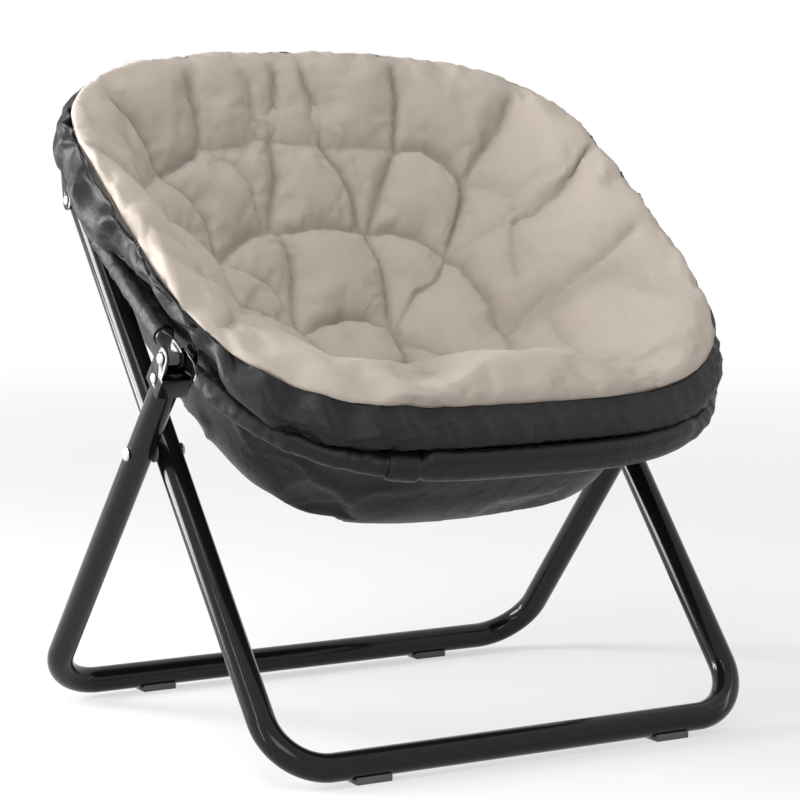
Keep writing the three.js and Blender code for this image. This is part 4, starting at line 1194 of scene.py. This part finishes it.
def make_sleeve(name, direction, steps, node, body):
    """A gathered satin sleeve on half of the hoop, with a turned hem at each end."""
    path, x = hoop_path(direction, SLEEVE_START, steps)
    travel = np.concatenate([[0], np.cumsum(np.linalg.norm(np.diff(path, axis=0), axis=1))])
    angles = around(SLEEVE_SIDES) * TAU
    ahead = directions(path)
    side = np.cross(ahead, above_hoop())
    ring = above_hoop() * np.cos(angles)[:, None] + side[:, None] * np.sin(angles)[:, None]
    band = np.zeros(len(path))
    if direction < 0:
        band = smooth_step(BAND_FROM - BAND_IN, BAND_FROM, x) * smooth_step(BAND_TO + BAND_OUT, BAND_TO, x)
    radius = sleeve_radius(path[:, None] + ring * SLEEVE_RADIUS, ahead, travel, angles, band)
    level = np.cos(angles)
    top, foot = (np.clip(part, 0, 1) ** BAND_POWER for part in (level, -level))
    flush = BAND_TOP * top + BAND_FOOT * foot
    radius = radius + (band * smooth_step(*FLUSH_IN, x - BAND_FROM))[:, None] * flush
    rows = path[:, None] + ring * radius[..., None]
    inner = [path[end] + ring[end] * (seat().hoop_tube + SLEEVE_CLEARANCE) for end in (0, -1)]
    rings = np.concatenate([inner[0][None], rows, inner[1][None]])
    faces = capped_faces(len(rings), SLEEVE_SIDES)
    piece = mesh_object(name, rings.reshape(-1, 3), faces, finish("black_satin"))
    turn_outwards(piece.data)
    own(piece, body, "satin_cloth", node)


def make_tab(name):
    """A fastening tab wrapped round the front of the hoop where the gathered sleeve ends."""
    path, x = hoop_path(-1, SLEEVE_START, TAB_STEPS)
    path = path[np.abs(x - BAND_FROM) < TAB_LENGTH / 2]
    step = np.arange(len(path))
    radius = TAB_EDGE_RADIUS + TAB_SWELL * np.minimum(np.minimum(step, step[::-1]) / TAB_EASE, 1)
    piece = swept(name, path, above_hoop(), np.stack([radius, radius], axis=1), SLEEVE_SIDES, "black_satin")
    own(piece, "front_seat", "satin_cloth")


def make_hoop_half(name, direction, node, body):
    """Half of the hoop: a round tube whose two ends are pressed flat for the hinge bolt."""
    radius = seat().hoop_tube
    path, x = hoop_path(direction, ROUND_START, HOOP_STEPS)
    lane = abs(float(hoop_outline(np.array(hoop_turn_at(0.0)))[0]))
    centre = lane + direction * (BLADE_GAP + BLADE_HALF)
    near = direction * np.concatenate([
        -BLADE_WIDTH * np.cos(np.linspace(BLADE_TIP, QUARTER, TIP_STEPS)),
        np.linspace(FLAT_START, FLAT_END, FLAT_STEPS),
        np.linspace(FLAT_END + FLAT_START, ROUND_START - ROUND_JOIN, NECK_STEPS),
    ])
    share = smooth_step(FLAT_END, ROUND_START, np.abs(near) * (near * direction > 0))
    rounded = np.sqrt(np.maximum(BLADE_WIDTH ** 2 - near ** 2, 1e-8))
    wide = np.where(near * direction < 0, rounded, BLADE_WIDTH) + (radius - BLADE_WIDTH) * share
    thick = BLADE_HALF + (radius - BLADE_HALF) * share
    aside = centre + (abs(float(x[0])) - centre) * share
    full = np.concatenate([on_hoop(-aside, near, 0), path, on_hoop(aside, near, 0)[::-1]])
    middle = np.full(len(path), radius)
    halves = np.stack([np.concatenate([end, middle, end[::-1]]) for end in (wide, thick)], axis=1)
    piece = swept(name, full, above_hoop(), halves, HOOP_SIDES, "gloss_black_paint")
    own(piece, body, "black_paint", node)


def leg_path(bar_y, arm, reach):
    """Centre line of a U leg, from one tip down, along the floor and up to the other tip."""
    size = tubes()
    bar = Vector((0, bar_y, size.bar_height))
    up = (PIVOT - bar).normalized()
    top = (PIVOT - bar).length + reach
    rises = np.linspace(top, size.leg_corner * CORNER_START, ARM_STEPS)
    points = [bar + up * rise - X_AXIS * arm for rise in rises]
    for side, steps in ((-1, range(CORNER_STEPS + 1)), (1, range(CORNER_STEPS, -1, -1))):
        for step in steps:
            angle = step / CORNER_STEPS * QUARTER
            x = side * (arm - size.leg_corner * (1 - math.cos(angle)))
            points.append(bar + up * size.leg_corner * (1 - math.sin(angle)) + X_AXIS * x)
    points += [bar + up * rise + X_AXIS * arm for rise in reversed(rises)]
    return np.array([tuple(point) for point in points]), X_AXIS.cross(up)


def make_leg(name, bar_y, arm, reach, body):
    path, across = leg_path(bar_y, arm, reach)
    radius = tubes().leg_tube
    piece = swept(
        name + "_gloss", path, across, (radius, radius), LEG_SIDES, "gloss_black_paint", hollow=True)
    own(piece, body, "black_paint", name)


# Hardware

TURNED_SIDES = 40
# A domed head: the height and the width of its edge, where its dome begins, and the flat on its crown
DOME_STEPS, DOME_EDGE, DOME_START, DOME_CROWN = 6, (0.12, 0.97), 0.25, 0.04
BOLT_CHAMFER, BOLT_TIP = 0.0008, 0.2
FLAT_ANGLE, EDGE_ANGLE, CRISP_ANGLE = (math.radians(turn) for turn in (1, 35, 30))
RIVETS = (
    # name, body, shank radius, head radius, head height
    ("leg_pivot_rivet_", "rear_leg", 0.004, 0.0085, 0.0034),
    ("bracket_rivet_", "rear_leg", 0.0032, 0.006, 0.0026),
    ("rest_rivet_", "front_leg", 0.0032, 0.006, 0.0026),
)
BOLT = ("hinge_bolt_", "rear_leg", 0.004, 0.007, 0.004)
EDGED = (
    # name, body, finish, slot, rounding of the edges
    ("hinge_nut_", "rear_leg", "zinc_plate", "zinc_steel", 0.0004),
    ("hoop_bracket_", "rear_leg", "gloss_black_paint", "black_paint", 0.0005),
    ("hoop_rest_", "front_leg", "gloss_black_paint", "black_paint", 0.0005),
    ("leg_spacer_", "rear_leg", "black_plastic", "black_plastic", 0.0003),
    ("hinge_spacer_", "rear_leg", "black_plastic", "black_plastic", 0.0004),
    ("rear_foot_pad_", "rear_leg", "black_plastic", "black_plastic", 0.0008),
    ("front_foot_pad_", "front_leg", "black_plastic", "black_plastic", 0.0008),
)


def domed(face, radius, height, outward):
    """Profile points of a domed head that stands on a face, from its rim to its crown."""
    points = [(face, radius * DOME_EDGE[1]), (face + outward * height * DOME_EDGE[0], radius)]
    for step in range(DOME_STEPS + 1):
        angle = step / DOME_STEPS * QUARTER
        rise = DOME_START + (1 - DOME_START) * math.sin(angle)
        points.append((face + outward * height * rise, radius * max(math.cos(angle), DOME_CROWN)))
    return points


def node_extent(node):
    """Side of a CAD fixing, its extent along X from the middle outwards, and its centre line."""
    low, high = (np.array(corner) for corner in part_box(node))
    side = 1 if low[0] + high[0] > 0 else -1
    return side, sorted((abs(low[0]), abs(high[0]))), (low + high) / 2 * (0, 1, 1)


def make_turned(node, body, side, place, profile):
    """A zinc piece lathed along X, from (distance from the chair's middle, radius) pairs."""
    angles = around(TURNED_SIDES) * TAU
    ring = np.stack([np.ones(TURNED_SIDES), np.cos(angles), np.sin(angles)], axis=1)
    points = np.concatenate([ring * (along * side, radius, radius) for along, radius in profile]) + place
    piece = crisp_piece(node + "_zinc", points, capped_faces(len(profile), TURNED_SIDES), "zinc_plate")
    own(piece, body, "zinc_steel", node)


def make_rivet(node, body, radius, head, height):
    """A rivet with a domed head on each outer face."""
    side, (low, high), place = node_extent(node)
    inner, outer = low + height, high - height
    shank = [(inner, radius), (outer, radius)]
    profile = domed(inner, head, height, -1)[::-1] + shank + domed(outer, head, height, 1)
    make_turned(node, body, side, place, profile)


def make_bolt(node, body, radius, head, height):
    """A hinge bolt: a round head with a softened edge and a chamfered end."""
    side, (low, high), place = node_extent(node)
    face = high - height
    tip = [(low, radius * BOLT_TIP), (low, radius - BOLT_CHAMFER), (low + BOLT_CHAMFER, radius)]
    make_turned(node, body, side, place, tip + [(face, radius)] + domed(face, head, height, 1))


def make_edged_copy(node, body, look, slot_name, edge):
    """The CAD node's own shape with its sharp edges rounded over."""
    mesh = frame["nodes"][node].data.copy()
    mesh.name = node + "_edged"
    piece = link_object(node + "_edged", mesh)
    shape = bmesh.new()
    shape.from_mesh(mesh)
    bmesh.ops.remove_doubles(shape, verts=shape.verts, dist=1e-5)
    bmesh.ops.dissolve_limit(shape, angle_limit=FLAT_ANGLE, verts=shape.verts, edges=shape.edges)
    shape.to_mesh(mesh)
    shape.free()
    mesh.materials.clear()
    mesh.materials.append(finish(look))
    bevel = piece.modifiers.new("edge", "BEVEL")
    bevel.width = edge
    bevel.segments = 2
    bevel.limit_method = "ANGLE"
    bevel.angle_limit = EDGE_ANGLE
    apply_modifiers(piece)
    piece.data.shade_smooth()
    mark_sharp(piece, CRISP_ANGLE)
    own(piece, body, slot_name, node)


# Stage

WHITE = (1.0, 1.0, 1.0, 1.0)
# The floor's glow is weaker near the chair, where its shadow falls, than far off, both in metres
FLOOR_HALF, FLOOR_COLOUR, FLOOR_ROUGHNESS = 14.0, (0.86, 0.855, 0.85, 1.0), 0.9
FLOOR_GLOW, GLOW_RANGE = 0.55, (0.9, 4.5)
ROOM_COLOUR, ROOM_LIGHT = (1.0, 0.99, 0.98, 1.0), 0.34
SENSOR_WIDTH, NEAREST_VIEW = 36, 0.05
LAMPS = (
    # name, place, aim, size, power in watts
    ("window_left", (-2.2, 1.3, 1.3), (0, 0, 0.4), (0.8, 1.5), 92),
    ("front_soft", (-1.3, -3.0, 1.9), (0, 0, 0.4), (1.6, 1.2), 27),
    ("top_soft", (-1.1, -0.3, 2.7), (0, 0, 0.4), (1.2, 1.2), 27),
    ("left_strip", (-2.3, -0.7, 0.9), (0, 0, 0.35), (0.05, 2.4), 11),
    ("left_low", (-1.9, 1.7, 0.35), (-0.3, 0.1, 0.55), (1.1, 0.4), 26),
    ("right_strip", (2.3, -1.4, 1.0), (0, 0, 0.35), (0.05, 2.4), 6),
)


def seen_rays(tree, *kinds):
    """1 on rays of any of those kinds, such as Is Camera Ray."""
    rays = tree.nodes.new("ShaderNodeLightPath").outputs
    seen = rays[kinds[0]]
    for kind in kinds[1:]:
        seen = maths(tree, "MAXIMUM", seen, rays[kind])
    return seen


def mixed_shader(tree, factor, first, second, target):
    mix = tree.nodes.new("ShaderNodeMixShader")
    for socket, value in zip(mix.inputs, (factor, first.outputs[0], second.outputs[0])):
        feed(tree, socket, value)
    feed(tree, tree.nodes[target].inputs["Surface"], mix.outputs["Shader"])


def floor_material():
    """Pale matt floor that the camera sees nearly white, with the chair's shadow on it."""
    surface = bpy.data.materials.new("pale_floor")
    surface.use_nodes = True
    tree = surface.node_tree
    matt = tree.nodes["Principled BSDF"]
    feed_named(tree, matt.inputs, {"Base_Color": FLOOR_COLOUR, "Roughness": FLOOR_ROUGHNESS})
    glow = add_node(tree, "ShaderNodeEmission", Color=WHITE, Strength=1.0)
    place = tree.nodes.new("ShaderNodeTexCoord").outputs["Object"]
    length = add_node(tree, "ShaderNodeVectorMath", {"operation": "LENGTH"}, Vector=place)
    far = map_range(tree, length.outputs["Value"], *GLOW_RANGE, FLOOR_GLOW, 1.0)
    seen = seen_rays(tree, "Is Camera Ray", "Is Glossy Ray")
    mixed_shader(tree, maths(tree, "MULTIPLY", seen, far), matt, glow, "Material Output")
    return surface


def make_world():
    """A soft even room, which the camera, mirrors and glass see as white."""
    world = bpy.data.worlds.new("soft_room")
    bpy.context.scene.world = world
    world.use_nodes = True
    tree = world.node_tree
    room = tree.nodes["Background"]
    feed_named(tree, room.inputs, {"Color": ROOM_COLOUR, "Strength": ROOM_LIGHT})
    white = add_node(tree, "ShaderNodeBackground", Color=WHITE, Strength=1.0)
    seen = seen_rays(tree, "Is Camera Ray", "Is Glossy Ray", "Is Transmission Ray")
    mixed_shader(tree, seen, room, white, "World Output")


def area_light(name, place, aim, size, power):
    light = bpy.data.lights.new(name, "AREA")
    light.shape = "RECTANGLE"
    light.size, light.size_y = size
    light.energy = power
    holder = link_object(name, light)
    holder.location = place
    holder.rotation_euler = (Vector(aim) - Vector(place)).to_track_quat("-Z", "Y").to_euler()


def camera_matrix(settings):
    """The camera's turn from its azimuth, elevation and roll."""
    a, e = settings.azimuth, settings.elevation
    back = Vector((math.sin(a) * math.cos(e), -math.cos(a) * math.cos(e), math.sin(e)))
    right = Vector((math.cos(a), math.sin(a), 0))
    up = back.cross(right)
    c, s = math.cos(settings.roll), math.sin(settings.roll)
    right, up = right * c + up * s, up * c - right * s
    return Matrix((right, up, back)).transposed()


def make_camera():
    settings = bpy.context.scene.chair_stage
    camera = bpy.data.cameras.new("photo_view")
    camera.lens = settings.lens
    camera.sensor_width = SENSOR_WIDTH
    camera.clip_start = NEAREST_VIEW
    holder = link_object("photo_view", camera)
    holder.matrix_world = Matrix.Translation(settings.place) @ camera_matrix(settings).to_4x4()
    bpy.context.scene.camera = holder


def make_floor():
    corners = [(x * FLOOR_HALF, y * FLOOR_HALF, 0) for x, y in ((-1, -1), (1, -1), (1, 1), (-1, 1))]
    mesh_object("floor", corners, [(0, 1, 2, 3)], floor_material())


# Operators, panel and registration


class CHAIR_OT_stage(bpy.types.Operator):
    """Make the floor, lights and camera"""

    bl_idname = "chair.stage"
    bl_label = "Stage"

    def execute(self, context):
        context.scene.view_settings.view_transform = "Standard"
        make_camera()
        make_floor()
        make_world()
        for lamp in LAMPS:
            area_light(*lamp)
        return {"FINISHED"}


class CHAIR_OT_tubes(bpy.types.Operator):
    """Make the painted legs and hoop halves"""

    bl_idname = "chair.tubes"
    bl_label = "Tubes"

    def execute(self, context):
        size = tubes()
        low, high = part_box("front_foot_pad_left")
        bar_y = (low[1] + high[1]) / 2
        make_leg("front_leg_tube", bar_y, size.front_arm, size.front_reach, "front_leg")
        make_leg("rear_leg_tube", bar_y + size.foot_span, size.rear_arm, size.rear_reach, "rear_leg")
        make_hoop_half("front_hoop_gloss", -1, "front_hoop_tube", "front_seat")
        make_hoop_half("rear_hoop_gloss", 1, "rear_hoop_tube", "rear_seat")
        return {"FINISHED"}


class CHAIR_OT_hardware(bpy.types.Operator):
    """Make the rivets, bolts, brackets, rests, spacers and foot pads"""

    bl_idname = "chair.hardware"
    bl_label = "Hardware"

    def execute(self, context):
        for side in SIDES:
            for name, *sizes in RIVETS:
                make_rivet(name + side, *sizes)
            make_bolt(BOLT[0] + side, *BOLT[1:])
            for name, *sizes in EDGED:
                make_edged_copy(name + side, *sizes)
        return {"FINISHED"}


class CHAIR_OT_sleeves(bpy.types.Operator):
    """Make the gathered sleeves on the hoop and their tab"""

    bl_idname = "chair.sleeves"
    bl_label = "Sleeves"

    def execute(self, context):
        make_sleeve("front_gathered_sleeve", -1, FRONT_SLEEVE_STEPS, "front_hoop_sleeve", "front_seat")
        make_sleeve("rear_gathered_sleeve", 1, REAR_SLEEVE_STEPS, "rear_hoop_sleeve", "rear_seat")
        make_tab("sleeve_tab")
        return {"FINISHED"}


class CHAIR_OT_backing(bpy.types.Operator):
    """Make the satin backing under the seat"""

    bl_idname = "chair.backing"
    bl_label = "Backing"

    def execute(self, context):
        make_backing()
        return {"FINISHED"}


class CHAIR_OT_cushion(bpy.types.Operator):
    """Make the tufted cushion and the stitches round its rim"""

    bl_idname = "chair.cushion"
    bl_label = "Cushion"

    def execute(self, context):
        make_cushion()
        make_stitches()
        return {"FINISHED"}


STEPS = (
    CHAIR_OT_stage, CHAIR_OT_tubes, CHAIR_OT_hardware, CHAIR_OT_sleeves, CHAIR_OT_backing, CHAIR_OT_cushion)
SETTINGS = {
    "chair_seat": SeatSizes, "chair_frame": FrameSizes, "chair_colours": ChairColours,
    "chair_stage": StageSettings,
}


class CHAIR_PT_panel(bpy.types.Panel):
    """Lists the chair's making steps and settings"""

    bl_idname = "CHAIR_PT_panel"
    bl_label = "Folding saucer chair"
    bl_space_type = "VIEW_3D"
    bl_region_type = "UI"
    bl_category = "Chair"

    def draw(self, context):
        for step in STEPS:
            self.layout.operator(step.bl_idname)
        for name in SETTINGS:
            settings = getattr(context.scene, name)
            for key in settings.bl_rna.properties.keys():
                if key not in ("rna_type", "name"):
                    self.layout.prop(settings, key)


CLASSES = (*SETTINGS.values(), *STEPS, CHAIR_PT_panel)


def register():
    for kind in CLASSES:
        bpy.utils.register_class(kind)
    for name, kind in SETTINGS.items():
        setattr(bpy.types.Scene, name, bpy.props.PointerProperty(type=kind))


def unregister():
    for name in SETTINGS:
        delattr(bpy.types.Scene, name)
    for kind in reversed(CLASSES):
        bpy.utils.unregister_class(kind)


def main():
    register()
    for step in STEPS:
        family, name = step.bl_idname.split(".")
        getattr(getattr(bpy.ops, family), name)()


if __name__ == "__main__":
    main()
